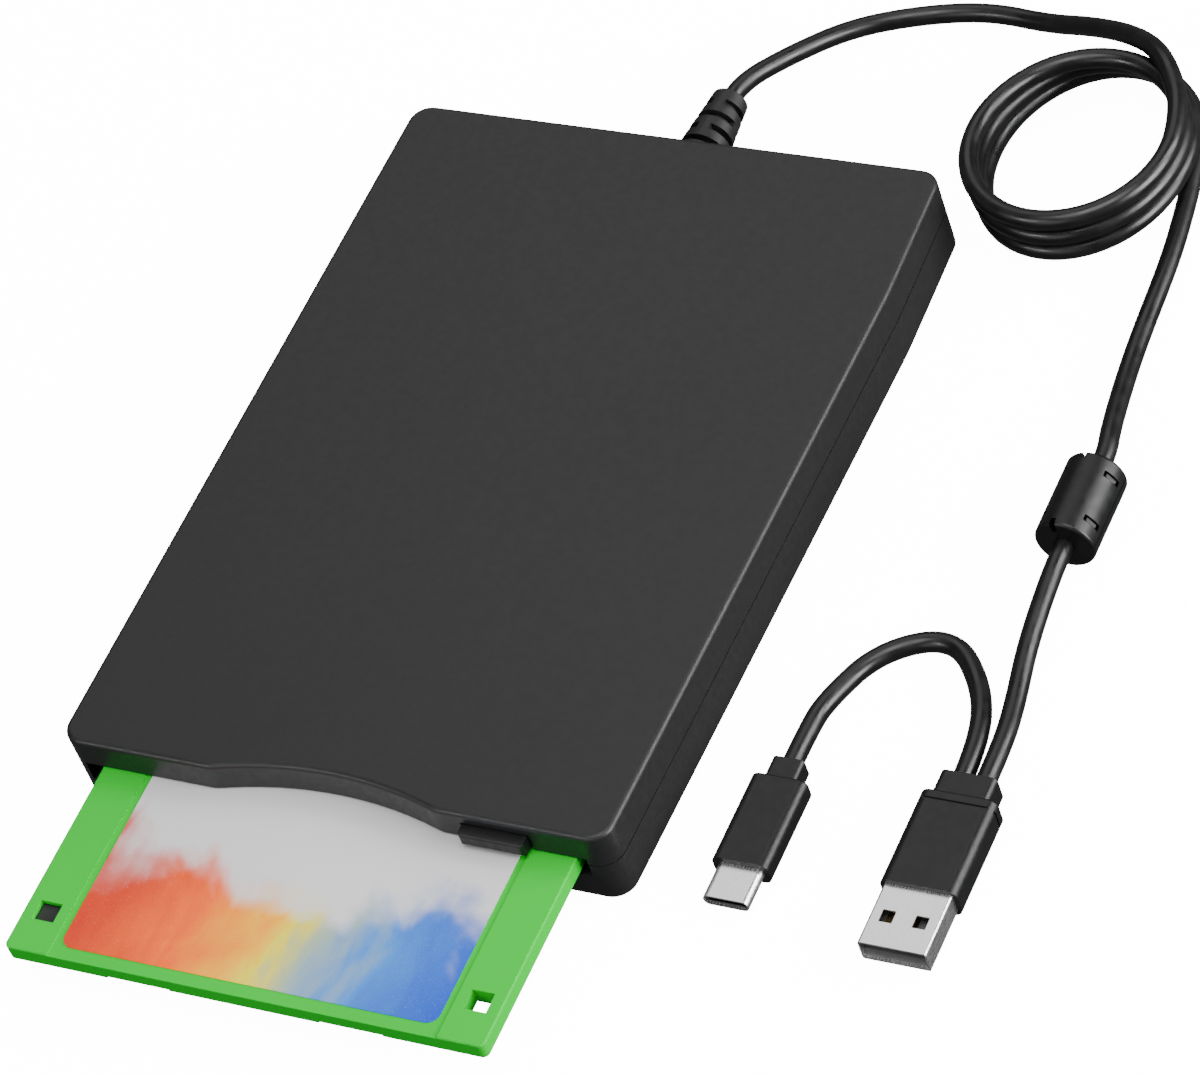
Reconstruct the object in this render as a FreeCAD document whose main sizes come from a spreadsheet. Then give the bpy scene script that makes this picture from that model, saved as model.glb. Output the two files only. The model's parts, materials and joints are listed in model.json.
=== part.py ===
import FreeCAD, Part
import math
import os
import re

# External floppy disk drive with a diskette part way in its slot and its USB cord, in millimetres.
# X runs to the right seen from the front, Y from the front to the back, Z up from the resting plane.

V = FreeCAD.Vector

# Each size is one named cell. Cells that start with = follow from the others.
SIZES = (
    ("case_w", "=disk_w + 13.5"), ("case_l", "=disk_l + 54.6"), ("case_h", "15.8"), ("wall_t", "1.6"),
    ("part_h", "8.5"), ("seam_w", "0.25"), ("lip_t", "0.7"), ("lip_h", "1.2"), ("lip_gap", "0.1"),
    ("corner_r", "4"), ("edge_r", "0.9"), ("base_r", "0.3"), ("flare_w", "2.1"), ("flare_y", "46"), ("tail_w", "1.1"),
    ("scoop_x", "-1"), ("scoop_w", "43"), ("scoop_d", "6.2"), ("scoop_end", "6"),
    ("foot_proud", "0.8"), ("foot_d", "9"), ("foot_in", "11"), ("foot_side", "22"), ("foot_sink", "0.5"),
    ("slot_x", "-0.8"), ("slot_w", "=disk_w + 5.2"), ("slot_low", "5.4"), ("slot_high", "10"),
    ("button_x", "=case_w / 2 - 20.75"), ("button_w", "12"), ("button_t", "2.8"), ("button_low", "10.6"),
    ("button_out", "2.2"), ("button_gap", "0.3"), ("slide_go", "2.5"),
    ("mech_w", "=disk_w + 6"), ("mech_l", "=disk_l + 30"), ("mech_in", "8.3"), ("mech_h", "11.5"),
    ("sheet_t", "0.8"),
    ("mech_lift", "0.3"), ("run_gap", "0.3"), ("holder_t", "0.4"), ("holder_drop", "0.8"),
    ("disk_w", "90"), ("disk_l", "=disk_w + 4"), ("disk_t", "3.3"), ("disk_low", "6.46"),
    ("disk_out", "37.9"),
    ("disk_in", "40"), ("hub_in", "=media_r + 3.1"), ("shell_t", "0.9"), ("media_r", "=disk_w / 2 - 2.1"),
    ("media_t", "0.2"),
    ("label_w", "=disk_w - 19.4"), ("label_l", "=disk_l - 40"), ("label_in", "2.4"),
    ("recess_w", "=disk_w - 16.8"), ("recess_d", "0.25"),
    ("hole_x", "=disk_w / 2 - 4.4"), ("hole_in", "8.2"), ("hole_w", "4.2"), ("hole_l", "3.8"),
    ("shutter_w", "31"), ("shutter_l", "30"), ("shutter_t", "0.2"), ("shutter_go", "13"),
    ("rotor_r", "17.5"), ("track_go", "7.4"), ("head_in", "31"), ("screw_r", "1.5"), ("thread_lead", "3"), ("rod_r", "1.25"),
    ("fit_gap", "0.05"), ("screw_x", "6.5"), ("guide_x", "-5.5"), ("drive_z", "8.2"),
    ("boss_x", "=case_w / 2 - 6.25"), ("boss_in", "8.3"), ("boss_r", "3"), ("mount_x", "=mech_w / 2 - 8"),
    ("mount_in", "10"),
    ("relief_x", "3"), ("relief_l", "16"), ("relief_r", "4.9"), ("relief_tip", "3.4"),
    ("cord_d", "3.6"), ("coil_x", "=lay_x + 70.9"), ("coil_y", "=lay_y + 93.1"), ("coil_rx", "18.1"), ("coil_ry", "23.1"),
    ("coil_step", "4.15"),
    ("choke_x", "=lay_x + 98.6"), ("choke_y", "=lay_y + 15"), ("choke_r", "5.4"), ("choke_l", "16.2"),
    ("plug_x", "=lay_x + 100.3"), ("plug_y", "=lay_y - 64.5"), ("plug_w", "13.6"), ("plug_l", "18.8"),
    ("plug_t", "6.4"),
    ("shell_w", "12"), ("shell_h", "4.5"), ("shell_l", "11.8"), ("tube_t", "0.35"), ("pair_gap", "4"),
    ("mini_x", "=lay_x + 68.7"), ("mini_y", "=lay_y - 65.3"), ("mini_w", "10.2"), ("mini_l", "17.8"),
    ("mini_t", "4.8"),
    ("tip_w", "8.25"), ("tip_h", "2.4"), ("tip_l", "6.8"), ("collar_l", "4.2"),
    ("lay_x", "=case_w / 2 - 51.75"), ("lay_y", "=case_l / 2 - 74.3"),
    ("front_y", "=-case_l / 2"), ("back_y", "=case_l / 2"), ("case_top", "=foot_proud + case_h"),
    ("seam_z", "=foot_proud + part_h"), ("floor_z", "=foot_proud + wall_t"),
    ("mech_z", "=foot_proud + wall_t + mech_lift"), ("mech_top", "=mech_z + mech_h"),
    ("mech_y", "=front_y + mech_in"), ("mech_end", "=mech_y + mech_l"),
    ("disk_z", "=foot_proud + disk_low"), ("disk_top", "=disk_z + disk_t"),
    ("disk_y", "=front_y - disk_out"), ("disk_rear", "=disk_y + disk_l"),
    ("hub_y", "=disk_rear - hub_in"), ("spindle_y", "=hub_y + disk_in"),
    ("head_y", "=spindle_y + head_in"), ("stop_y", "=disk_rear + disk_in + 0.5"),
    ("cord_r", "=cord_d / 2"), ("plug_z", "=plug_t / 2"), ("mini_z", "=mini_t / 2"),
)

doc = FreeCAD.newDocument("FloppyDrive")
sheet = doc.addObject("Spreadsheet::Sheet", "Sizes")
for row, (alias, value) in enumerate(SIZES, 1):
    sheet.set("A%d" % row, alias)
    sheet.setAlias("B%d" % row, alias)
for row, (alias, value) in enumerate(SIZES, 1):
    sheet.set("B%d" % row, value)
doc.recompute()

NODES = []


def size(alias):
    """Value of one cell."""
    return float(sheet.get(alias))


def sizes(text):
    """Values of several cells named in one line."""
    return [size(alias) for alias in text.split()]


def bound(text):
    """Expression text with each cell name pointed at the sheet."""
    return re.sub(r"[a-z]+(?:_[a-z]+)+", r"Sizes.\g<0>", str(text))


def place(obj, corner):
    """Bind an object's position to the sheet."""
    for axis, text in zip("xyz", corner):
        obj.setExpression(".Placement.Base." + axis, bound(text))
    return obj


def box(name, corner, extent):
    """Box bound to the sheet: lowest corner, then length along X, Y and Z."""
    obj = doc.addObject("Part::Box", name)
    for prop, text in zip(("Length", "Width", "Height"), extent):
        obj.setExpression(prop, bound(text))
    return place(obj, corner)


AXES = {"x": FreeCAD.Rotation(V(0, 1, 0), 90), "y": FreeCAD.Rotation(V(1, 0, 0), -90), "z": FreeCAD.Rotation()}


def rod(name, start, radius, length, axis="z"):
    """Cylinder bound to the sheet, from its start along one axis."""
    obj = doc.addObject("Part::Cylinder", name)
    obj.Placement = FreeCAD.Placement(V(), AXES[axis])
    obj.setExpression("Radius", bound(radius))
    obj.setExpression("Height", bound(length))
    return place(obj, start)


def join(name, parts):
    """One solid from overlapping or touching parts."""
    obj = doc.addObject("Part::MultiFuse", name)
    obj.Shapes = parts
    return obj


def carve(name, base, tools):
    """The base with every tool taken out of it."""
    obj = doc.addObject("Part::Cut", name)
    obj.Base = base
    obj.Tool = tools[0] if len(tools) == 1 else join(name + "Tools", tools)
    return obj


def together(name, parts):
    """Separate solids kept in one node."""
    obj = doc.addObject("Part::Compound", name)
    obj.Links = parts
    return obj


def formed(name, shape):
    """Object whose shape comes from the functions below."""
    obj = doc.addObject("Part::Feature", name)
    obj.Shape = shape
    return obj


def node(label, obj):
    """Keep an object as a finished sub-part under its own name."""
    obj.Label = label
    NODES.append(obj)
    return obj


def block(low, high):
    """Plain box shape between two corners."""
    return Part.makeBox(high[0] - low[0], high[1] - low[1], high[2] - low[2], V(*low))


def barrel(start, radius, length, axis=V(0, 0, 1)):
    """Plain cylinder shape."""
    return Part.makeCylinder(radius, length, V(*start), axis)


def rounded(points):
    """Closed face through corners given as x, y and corner radius."""
    edges, last, first = [], None, None
    count = len(points)
    for i, (x, y, radius) in enumerate(points):
        here = V(x, y, 0)
        back = V(points[i - 1][0], points[i - 1][1], 0) - here
        ahead = V(points[(i + 1) % count][0], points[(i + 1) % count][1], 0) - here
        back.normalize()
        ahead.normalize()
        half = back.getAngle(ahead) / 2
        reach = radius / math.tan(half) if radius else 0
        start, end = here + back * reach, here + ahead * reach
        if last is not None and (start - last).Length > 1e-6:
            edges.append(Part.LineSegment(last, start).toShape())
        if radius:
            middle = back + ahead
            middle.normalize()
            top = here + middle * (radius / math.sin(half) - radius)
            edges.append(Part.Arc(start, top, end).toShape())
        first = start if first is None else first
        last = end
    edges.append(Part.LineSegment(last, first).toShape())
    return Part.Face(Part.Wire(edges))


def prism(face, low, high):
    """Upright solid on a face between two heights."""
    lifted = face.copy()
    lifted.translate(V(0, 0, low))
    return lifted.extrude(V(0, 0, high - low))


def soften(shape, radius, pick):
    """Round the edges that the test picks."""
    return shape.makeFillet(radius, [edge for edge in shape.Edges if pick(edge)])


def level(height):
    """Test for edges that lie flat at one height."""
    return lambda edge: all(abs(vertex.Z - height) < 1e-4 for vertex in edge.Vertexes)


def upright(edge):
    """Test for straight upright edges."""
    ends = edge.Vertexes
    return len(ends) == 2 and abs(ends[0].X - ends[1].X) < 1e-4 and abs(ends[0].Y - ends[1].Y) < 1e-4


def case_face(inset):
    """Plan of the case: finger scoop in front, slight bend near the back of the right side."""
    half = size("case_w") / 2
    front, back, corner = sizes("front_y back_y corner_r")
    middle, width, depth, end = sizes("scoop_x scoop_w scoop_d scoop_end")
    slope = math.atan2(depth, width / 2)
    scoop = (math.hypot(width / 2, depth) - 1.5) / math.tan(slope)
    face = rounded((
        (-half, front, corner),
        (middle - width / 2, front, end),
        (middle, front + depth, scoop),
        (middle + width / 2, front, end),
        (half, front, corner),
        (half + size("flare_w"), size("flare_y"), 90),
        (half + size("tail_w"), back, corner),
        (-half, back, corner),
    ))
    return face.makeOffset2D(-inset) if inset else face


def slot_cut():
    """Space of the disk slot through the front wall."""
    x, width, front, foot = sizes("slot_x slot_w front_y foot_proud")
    low, high = foot + size("slot_low"), foot + size("slot_high")
    return block((x - width / 2, front - 1, low), (x + width / 2, front + 9, high))


def button_cut():
    """Space of the eject button above the slot."""
    x, width, gap, front = sizes("button_x button_w button_gap front_y")
    top = size("foot_proud") + size("button_low") + size("button_t") + gap
    return block((x - width / 2 - gap, front - 1, size("seam_z")), (x + width / 2 + gap, front + 5, top))


def relief_cut():
    """Round hole in the back wall for the neck of the strain relief."""
    start = (size("relief_x"), size("back_y") - 5, size("seam_z"))
    return barrel(start, size("relief_r") - 0.5 + size("fit_gap"), 8, V(0, 1, 0))


def boss_places():
    """Two screw bosses in the back corners."""
    y = size("back_y") - size("boss_in")
    return [(side * size("boss_x"), y) for side in (-1, 1)]


def mount_places():
    """Four screws that hold the mechanism on the bottom cover."""
    inset = size("mount_in")
    rows = (size("mech_y") + inset, size("mech_end") - inset)
    return [(side * size("mount_x"), y) for side in (-1, 1) for y in rows]


def foot_places():
    """Four rubber feet near the corners."""
    x, y = size("case_w") / 2 - size("foot_side"), size("case_l") / 2 - size("foot_in")
    return [(i * x, j * y) for i in (-1, 1) for j in (-1, 1)]


def top_cover():
    wall, seam, top = sizes("wall_t seam_z case_top")
    low = seam + size("seam_w") / 2
    shell = soften(prism(case_face(0), low, top), size("edge_r"), level(top))
    shell = shell.cut(prism(case_face(wall), low - 1, top - wall))
    rebate = wall - size("lip_t") - size("lip_gap")
    shell = shell.cut(prism(case_face(rebate), low - 1, seam + size("lip_h")))
    for x, y in boss_places():
        post = barrel((x, y, seam - 2), size("boss_r"), top - wall - seam + 2.5)
        shell = shell.fuse(post).cut(barrel((x, y, seam - 3), 1 + size("fit_gap"), 7))
    return shell.cut(slot_cut()).cut(button_cut()).cut(relief_cut()).removeSplitter()


def bottom_cover():
    wall, seam, foot, floor = sizes("wall_t seam_z foot_proud floor_z")
    high = seam - size("seam_w") / 2
    shell = soften(prism(case_face(0), foot, high), size("base_r"), level(foot))
    lip = prism(case_face(wall - size("lip_t")), floor + 1, seam + size("lip_h"))
    shell = shell.fuse(lip).cut(prism(case_face(wall), floor, seam + 4))
    for x, y in boss_places():
        post = barrel((x, y, floor - 0.5), size("boss_r"), seam - 2 - floor + 0.5)
        shell = shell.fuse(post).cut(barrel((x, y, foot - 1), 1.15, 20)).cut(barrel((x, y, foot - 1), 2.5, 3.6))
    for x, y in mount_places():
        pad = barrel((x, y, floor - 0.5), 4, size("mech_z") - floor + 0.5)
        shell = shell.fuse(pad).cut(barrel((x, y, foot - 1), 1.15, 6)).cut(barrel((x, y, foot - 1), 2.2, 2.1))
    for x, y in foot_places():
        shell = shell.cut(barrel((x, y, foot - 1), size("foot_d") / 2, 1 + size("foot_sink")))
    for x in (-18, 22):
        shell = shell.fuse(barrel((x, size("mech_end") + 8, floor - 0.5), 2.2, 2.3))
    return shell.cut(slot_cut()).cut(relief_cut()).removeSplitter()


def rubber_feet():
    feet = [rod("Foot%d" % i, (x, y, 0), "foot_d / 2", "foot_proud + foot_sink")
            for i, (x, y) in enumerate(foot_places())]
    return together("Feet", feet)


def screw(name, x, y, head_z, head_r, head_h, length):
    """Pan head screw from below with a cross in its head."""
    head = rod(name + "Head", (x, y, head_z), head_r, head_h)
    shank = rod(name + "Shank", (x, y, head_z), "1", length)
    cross = [box(name + "CrossA", (x - 1, y - 0.2, head_z - 0.2), ("2", "0.4", "0.6")),
             box(name + "CrossB", (x - 0.2, y - 1, head_z - 0.2), ("0.4", "2", "0.6"))]
    return carve(name, join(name + "Body", [head, shank]), cross)


def case_screws():
    z = size("foot_proud") + 1.1
    return together("CaseScrews", [screw("CaseScrew%d" % i, x, y, z, 2.3, 1.5, 8)
                                   for i, (x, y) in enumerate(boss_places())])


def mech_screws():
    z = size("foot_proud") + 0.2
    return together("MechScrews", [screw("MechScrew%d" % i, x, y, z, 2, 0.9, 4)
                                   for i, (x, y) in enumerate(mount_places())])


def pin_rows():
    """Distance along Y of the two pairs of guide pins on the disk holder."""
    return size("mech_y") + 14, size("mech_y") + 74


def chassis():
    """Folded steel tray that carries the mechanism."""
    tray = box("Tray", ("-mech_w / 2", "mech_y", "mech_z"), ("mech_w", "mech_l", "mech_h"))
    inside = box("TrayInside", ("-mech_w / 2 + sheet_t", "mech_y - 1", "mech_z + sheet_t"),
                 ("mech_w - 2 * sheet_t", "mech_l + 1 - sheet_t", "mech_h"))
    adds = [carve("TrayShell", tray, [inside])]
    cuts = []
    for i, (x, y) in enumerate(mount_places()):
        adds.append(rod("Bush%d" % i, (x, y, "mech_z"), 2.2, 2.6))
        cuts.append(rod("BushHole%d" % i, (x, y, "mech_z - 1"), "1 + fit_gap", 6))
    for i, (x, y) in enumerate((("guide_x", "stop_y"), ("screw_x", "stop_y"), ("guide_x", "stop_y + 25.1"))):
        adds.append(box("Post%d" % i, (x + " - 2.4", y, "mech_z"), (4.8, 1, "drive_z + 2.4 - mech_z")))
    cuts.append(rod("GuideHole", ("guide_x", "stop_y - 1", "drive_z"), "rod_r + fit_gap", 28, "y"))
    cuts.append(rod("ScrewHole", ("screw_x", "stop_y - 1", "drive_z"), "screw_r + fit_gap", 3, "y"))
    for i, y in enumerate(pin_rows()):
        cuts.append(box("PinSlot%d" % i, ("-mech_w / 2 - 1", y - 0.9, "disk_z + 1.6 - 0.9 - holder_drop"),
                        ("mech_w + 2", 1.8, "1.8 + holder_drop")))
    for i, x in enumerate(("-mech_w / 2 + sheet_t - 0.1", "mech_w / 2 - sheet_t - 3.3")):
        adds.append(box("SpringTab%d" % i, (x, "mech_y + 98.6", "disk_z + 1.6"), (3.4, 0.8, 2.8)))
    cuts.append(box("HeadWell", (-10, "head_y - 14", "mech_z - 1"), (20, 28, 3)))
    cuts.append(box("CableNotch", ("mech_w / 2 - 29.6", "mech_end - 2", "mech_top - 4"), (9.2, 4, 6)))
    return carve("Chassis", join("ChassisBody", adds), cuts)


def top_shield():
    """Flat steel lid on the mechanism with a window for the head arm."""
    lid = box("Lid", ("-mech_w / 2", "mech_y + 22", "mech_top"), ("mech_w", "mech_l - 22", 0.4))
    window = box("LidWindow", (-12, "head_y - 16", "mech_top - 1"), (24, 44, 3))
    return carve("Shield", lid, [window])


def holder_x():
    """Inside face of the disk holder's side plates."""
    return size("disk_w") / 2 + 0.6


def disk_holder():
    """Sheet carrier that the diskette slides into, with four guide pins."""
    inner = holder_x()
    back = "mech_l - 40"
    outer = inner + size("holder_t")
    roof = box("HolderRoof", (-outer, "mech_y + 2", "disk_top + run_gap"), (2 * outer, back, "holder_t"))
    window = box("HolderWindow", (-8, "head_y - 16", "disk_top"), (16, 60, 4))
    parts = [carve("HolderTop", roof, [window])]
    for side in (-1, 1):
        tag = "L" if side < 0 else "R"
        x = inner if side > 0 else -outer
        parts.append(box("HolderSide" + tag, (x, "mech_y + 2", "disk_z - run_gap - holder_t"),
                         ("holder_t", back, "disk_t + 2 * run_gap + 2 * holder_t")))
        x = inner - 2.2 if side > 0 else -inner
        parts.append(box("HolderLip" + tag, (x, "mech_y + 2", "disk_z - run_gap - holder_t"),
                         (2.2, back, "holder_t")))
        for i, y in enumerate(pin_rows()):
            x = inner + 0.2 if side > 0 else -inner - 0.2 - 2
            parts.append(rod("HolderPin%s%d" % (tag, i), (x, y, "disk_z + 1.6"), 0.8, 2, "x"))
    return join("Holder", parts)


def eject_slide():
    """Slide plate over the holder: slanted slots lift the holder, a tongue carries the button."""
    inner = holder_x() + size("holder_t") + 0.35
    plate, go, drop = 0.5, size("slide_go"), size("holder_drop")
    y, z = size("mech_y") + 2, size("disk_top") + size("run_gap") + size("holder_t") + 0.6
    pin = size("disk_z") + 1.6
    tongue = size("front_y") + 4.3
    x = size("button_x")
    shape = block((-inner - plate, y, z), (inner + plate, y + 20, z + 0.4))
    shape = shape.fuse(block((x - 3, tongue, z), (x + 3, y + 1, z + 0.4)))
    for side in (-1, 1):
        low = min(side * inner, side * (inner + plate))
        shape = shape.fuse(block((low, y, pin - 2.8), (low + plate, y + 85, z + 0.4)))
    for row in pin_rows():
        reach = math.hypot(go, drop)
        for part in range(9):
            t = part / 8
            centre = (-60, row + go * t, pin - drop * t)
            shape = shape.cut(barrel(centre, 0.9, 120, V(1, 0, 0)))
    return shape.removeSplitter()


def eject_button():
    """Moulded key with a pocket that takes the slide plate's tongue."""
    x, width, thick, front = sizes("button_x button_w button_t front_y")
    low = size("foot_proud") + size("button_low")
    y, z = front - size("button_out"), size("disk_top") + size("run_gap") + size("holder_t") + 0.6
    key = block((x - width / 2, y, low), (x + width / 2, front + 5.6, low + thick))
    key = soften(key, 0.6, lambda edge: all(abs(vertex.Y - y) < 1e-4 for vertex in edge.Vertexes))
    return key.cut(block((x - 3.05, front + 4.3, z - 0.03), (x + 3.05, front + 8, z + 0.43)))


def wound(start, radius, wire, turns, pitch, axis):
    """Round wire spring from its start along an axis."""
    helix = Part.makeHelix(pitch, pitch * turns, radius)
    profile = Part.Wire(Part.makeCircle(wire, V(radius, 0, 0), V(0, 1, 0)))
    spring = Part.Wire(helix.Edges).makePipeShell([profile], True, True)
    spring.Placement = FreeCAD.Placement(V(*start), FreeCAD.Rotation(V(0, 0, 1), axis))
    return spring


def slide_springs():
    """Two return springs behind the slide plate's rails."""
    z = size("disk_z") + 3
    y = size("mech_y") + 87.4
    places = [(side * (size("mech_w") / 2 - 1.9), y, z) for side in (-1, 1)]
    return Part.makeCompound([wound(place_, 0.6, 0.2, 9, 1.2, V(0, 1, 0)) for place_ in places])


def motor_board():
    """Circuit board under the disk, with the spindle hole and a well for the lower head."""
    board = box("MotorBoardPlate", ("-mech_w / 2 + 4", "mech_y + 1", "mech_z + sheet_t"),
                ("mech_w - 8", "spindle_y - mech_y + 34", 1))
    cuts = [rod("MotorBoardHole", (0, "spindle_y", "mech_z"), 3.3, 5),
            box("MotorBoardWell", (-9, "head_y - 14", "mech_z"), (18, 28, 5))]
    for i, (x, y) in enumerate(mount_places()):
        cuts.append(rod("MotorBoardGap%d" % i, (x, y, "mech_z"), 2.6, 5))
    return carve("MotorBoard", board, cuts)


def sensor_switches():
    """Three small switches: disk in, write tab and density hole."""
    parts = []
    for i, (x, y) in enumerate((("-hole_x", "disk_y + hole_in + disk_in"), ("hole_x", "disk_y + hole_in + disk_in"),
                                ("-30", "spindle_y + 20"))):
        body = box("Switch%d" % i, (x + " - 2", y + " - 1.5", "mech_z + sheet_t + 1"), (4, 3, 1))
        pin = rod("SwitchPin%d" % i, (x, y, "mech_z + sheet_t + 1.9"), 0.6, 0.6)
        parts.append(join("SwitchBody%d" % i, [body, pin]))
    return together("Switches", parts)


def stator():
    """Laminated ring with twelve coils round the spindle bearing."""
    y, z = size("spindle_y"), size("mech_z") + size("sheet_t") + 1
    ring = barrel((0, y, z), 7, 0.8).cut(barrel((0, y, z - 1), 4.2, 3))
    for k in range(12):
        angle = k * 30
        arm = block((6, -0.6, 0), (14.5, 0.6, 0.8)).fuse(block((8.5, -1.1, 0), (13, 1.1, 0.8)))
        arm.Placement = FreeCAD.Placement(V(0, y, z), FreeCAD.Rotation(V(0, 0, 1), angle))
        ring = ring.fuse(arm)
    return ring.removeSplitter()


def spindle_bearing():
    """Bush pressed in the tray that carries the spindle shaft."""
    bush = rod("BearingBush", (0, "spindle_y", "mech_z + sheet_t"), 3, 1.7)
    return carve("Bearing", bush, [rod("BearingBore", (0, "spindle_y", "mech_z"), "1.5 + fit_gap", 4)])


def spindle_rotor():
    """Cup of the flat motor with its shaft."""
    top = rod("RotorTop", (0, "spindle_y", "mech_z + sheet_t + 2.2"), "rotor_r", 0.3)
    rim = carve("RotorRim", rod("RotorRimOut", (0, "spindle_y", "mech_z + sheet_t + 1.3"), "rotor_r", 1),
                [rod("RotorRimIn", (0, "spindle_y", "mech_z + sheet_t"), "rotor_r - 1.2", 4)])
    shaft = rod("RotorShaft", (0, "spindle_y", "mech_z + sheet_t + 0.1"), 1.5, 2.3)
    return join("Rotor", [top, rim, shaft])


def spindle_hub():
    """Magnetic hub table with its centre pin and drive pin."""
    table = rod("HubTable", (0, "spindle_y", "mech_z + sheet_t + 2.5"), 11, 0.15)
    pin = rod("HubPin", (0, "spindle_y", "mech_z + sheet_t + 2.5"), 1.8, 0.25)
    drive = rod("HubDrive", (6.5, "spindle_y", "mech_z + sheet_t + 2.5"), 1, 0.25)
    return join("Hub", [table, pin, drive])


def guide_rod():
    return rod("GuideRod", ("guide_x", "stop_y", "drive_z"), "rod_r", 26.1, "y")


def lead_screw():
    """Threaded spindle of the stepper motor: grooves stand in for the thread."""
    y, x, z, radius = size("stop_y"), size("screw_x"), size("drive_z"), size("screw_r")
    shaft = barrel((x, y, z), radius, 28, V(0, 1, 0))
    ring = barrel((0, 0, 0), radius + 1, 0.8, V(0, 1, 0)).cut(barrel((0, -1, 0), radius - 0.3, 3, V(0, 1, 0)))
    for k in range(8):
        groove = ring.copy()
        groove.translate(V(x, y + 2 + k * size("thread_lead"), z))
        shaft = shaft.cut(groove)
    return shaft


def stepper_motor():
    """Stepper can on the back of the tray, with the end of its shaft inside."""
    can = rod("StepCan", ("screw_x", "stop_y + 26.5", "drive_z"), 4.6, 8.2, "y")
    seat = box("StepSeat", ("screw_x - 4", "stop_y + 27", "mech_z + sheet_t"), (8, 7.5, 1.5))
    return carve("Stepper", join("StepBody", [can, seat]),
                 [rod("StepBore", ("screw_x", "stop_y + 26", "drive_z"), "screw_r + fit_gap", 3, "y")])


def head_carriage():
    """Moving block with the nut bore, the guide bore, the lower arm and two ears."""
    front = "stop_y + 1.6 + track_go"
    body = box("CarBody", (-9, front, "mech_z + 1.5"), (18, 8, 6))
    arm = box("CarArm", (-2.7, "head_y - 3", "mech_z + 1.5"), (5.4, front + " - head_y + 4", 1.2))
    parts = [body, arm]
    for i, x in enumerate((-9, 8.2)):
        parts.append(box("CarEar%d" % i, (x, front + " + 3.6", "mech_z + 7"), (0.8, 4, 2.6)))
    cuts = [rod("CarNut", ("screw_x", front + " - 1", "drive_z"), "screw_r + fit_gap", 12, "y"),
            rod("CarGuide", ("guide_x", front + " - 1", "drive_z"), "rod_r + fit_gap", 12, "y"),
            rod("CarHinge", (-10, front + " + 5.8", "mech_z + 8.5"), "0.7 + fit_gap", 20, "x")]
    return carve("Carriage", join("CarriageBody", parts), cuts)


def slider(name, z, height):
    """Ceramic head slider with a groove beside its gap."""
    body = box(name + "Body", (-2.5, "head_y - 2", z), (5, 4, height))
    groove = box(name + "Groove", (0.6, "head_y - 3", z), (0.4, 6, height))
    return body, groove


def lower_head():
    body, groove = slider("LowHead", "mech_z + 2.7", 0.7)
    groove.setExpression(".Placement.Base.z", bound("mech_z + 3.2"))
    return carve("LowerHead", body, [groove])


def head_arm():
    """Upper arm on its hinge pin behind the disk."""
    front = "stop_y + 1.6 + track_go"
    arm = box("ArmBar", (-4, "head_y - 3", "mech_z + 8.9"), (8, front + " + 7 - head_y", 0.8))
    yoke = box("ArmYoke", (-7.8, front + " + 3.8", "mech_z + 7.8"), (15.6, 3.6, 1.9))
    pin = rod("ArmPin", (-9, front + " + 5.8", "mech_z + 8.5"), 0.7, 18, "x")
    return join("Arm", [arm, yoke, pin])


def upper_head():
    body, groove = slider("TopHead", "mech_z + 8.16", 0.74)
    groove.setExpression(".Placement.Base.z", bound("mech_z + 7.66"))
    return carve("UpperHead", body, [groove])


def arm_spring():
    """Flat spring from the carriage over the upper arm."""
    front = "stop_y + 1.6 + track_go"
    foot = box("ArmSpringFoot", (-2, front + " + 7.6", "mech_z + 7.5"), (4, 0.4, 3.3))
    leaf = box("ArmSpringLeaf", (-2, front + " - 6", "mech_z + 10.6"), (4, 14, 0.2))
    return join("ArmSpring", [foot, leaf])


def lever_pivot():
    """Axis of the shutter lever."""
    return 10 - size("mech_w") / 2, size("stop_y") + 14


def shutter_lever():
    """Arm whose pin pushes the disk's shutter open as the disk comes home."""
    x, y = lever_pivot()
    tip = (x + 15, size("stop_y") + 1.4)
    z = size("drive_z")
    angle = math.degrees(math.atan2(tip[1] - y, tip[0] - x))
    length = math.hypot(tip[0] - x, tip[1] - y)
    bar = block((0, -1.8, 0), (length, 1.8, 0.8))
    bar.Placement = FreeCAD.Placement(V(x, y, z), FreeCAD.Rotation(V(0, 0, 1), angle))
    shape = bar.fuse(barrel((x, y, z - 1.5), 3, 3)).fuse(barrel((tip[0], tip[1], z - 1), 1, 2.8))
    return shape.cut(barrel((x, y, z - 3), 1.2 + size("fit_gap"), 8)).removeSplitter()


def lever_post():
    """Riveted post with a head that the lever and its spring turn on."""
    x, y = lever_pivot()
    low = size("mech_z") + size("sheet_t")
    return barrel((x, y, low), 1.2, 7.6).fuse(barrel((x, y, low + 7), 2, 0.6))


def lever_spring():
    """Torsion spring round the lever's post."""
    x, y = lever_pivot()
    return wound((x, y, size("mech_z") + size("sheet_t") + 0.4), 1.7, 0.2, 4, 0.6, V(0, 0, 1))


def control_board():
    """Main board beside the stepper motor."""
    board = box("ControlPlate", ("mech_w / 2 - 34", "stop_y + 2", "mech_z + sheet_t"), (32, 32, 1))
    cuts = [rod("ControlGap%d" % i, (x, y, "mech_z"), 2.6, 5) for i, (x, y) in enumerate(mount_places())]
    return carve("ControlBoard", board, cuts)


def chips(name, places, z):
    """Packages with a dot in the corner, given as x, y, width and depth."""
    parts = []
    for i, (x, y, width, depth) in enumerate(places):
        body = box("%s%d" % (name, i), (x, y, z), (width, depth, 1))
        dot = rod("%sDot%d" % (name, i), (x + " + 1", y + " + 1", z + " + 0.8"), 0.35, 1)
        parts.append(carve("%sBody%d" % (name, i), body, [dot]))
    return together(name + "Set", parts)


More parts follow.
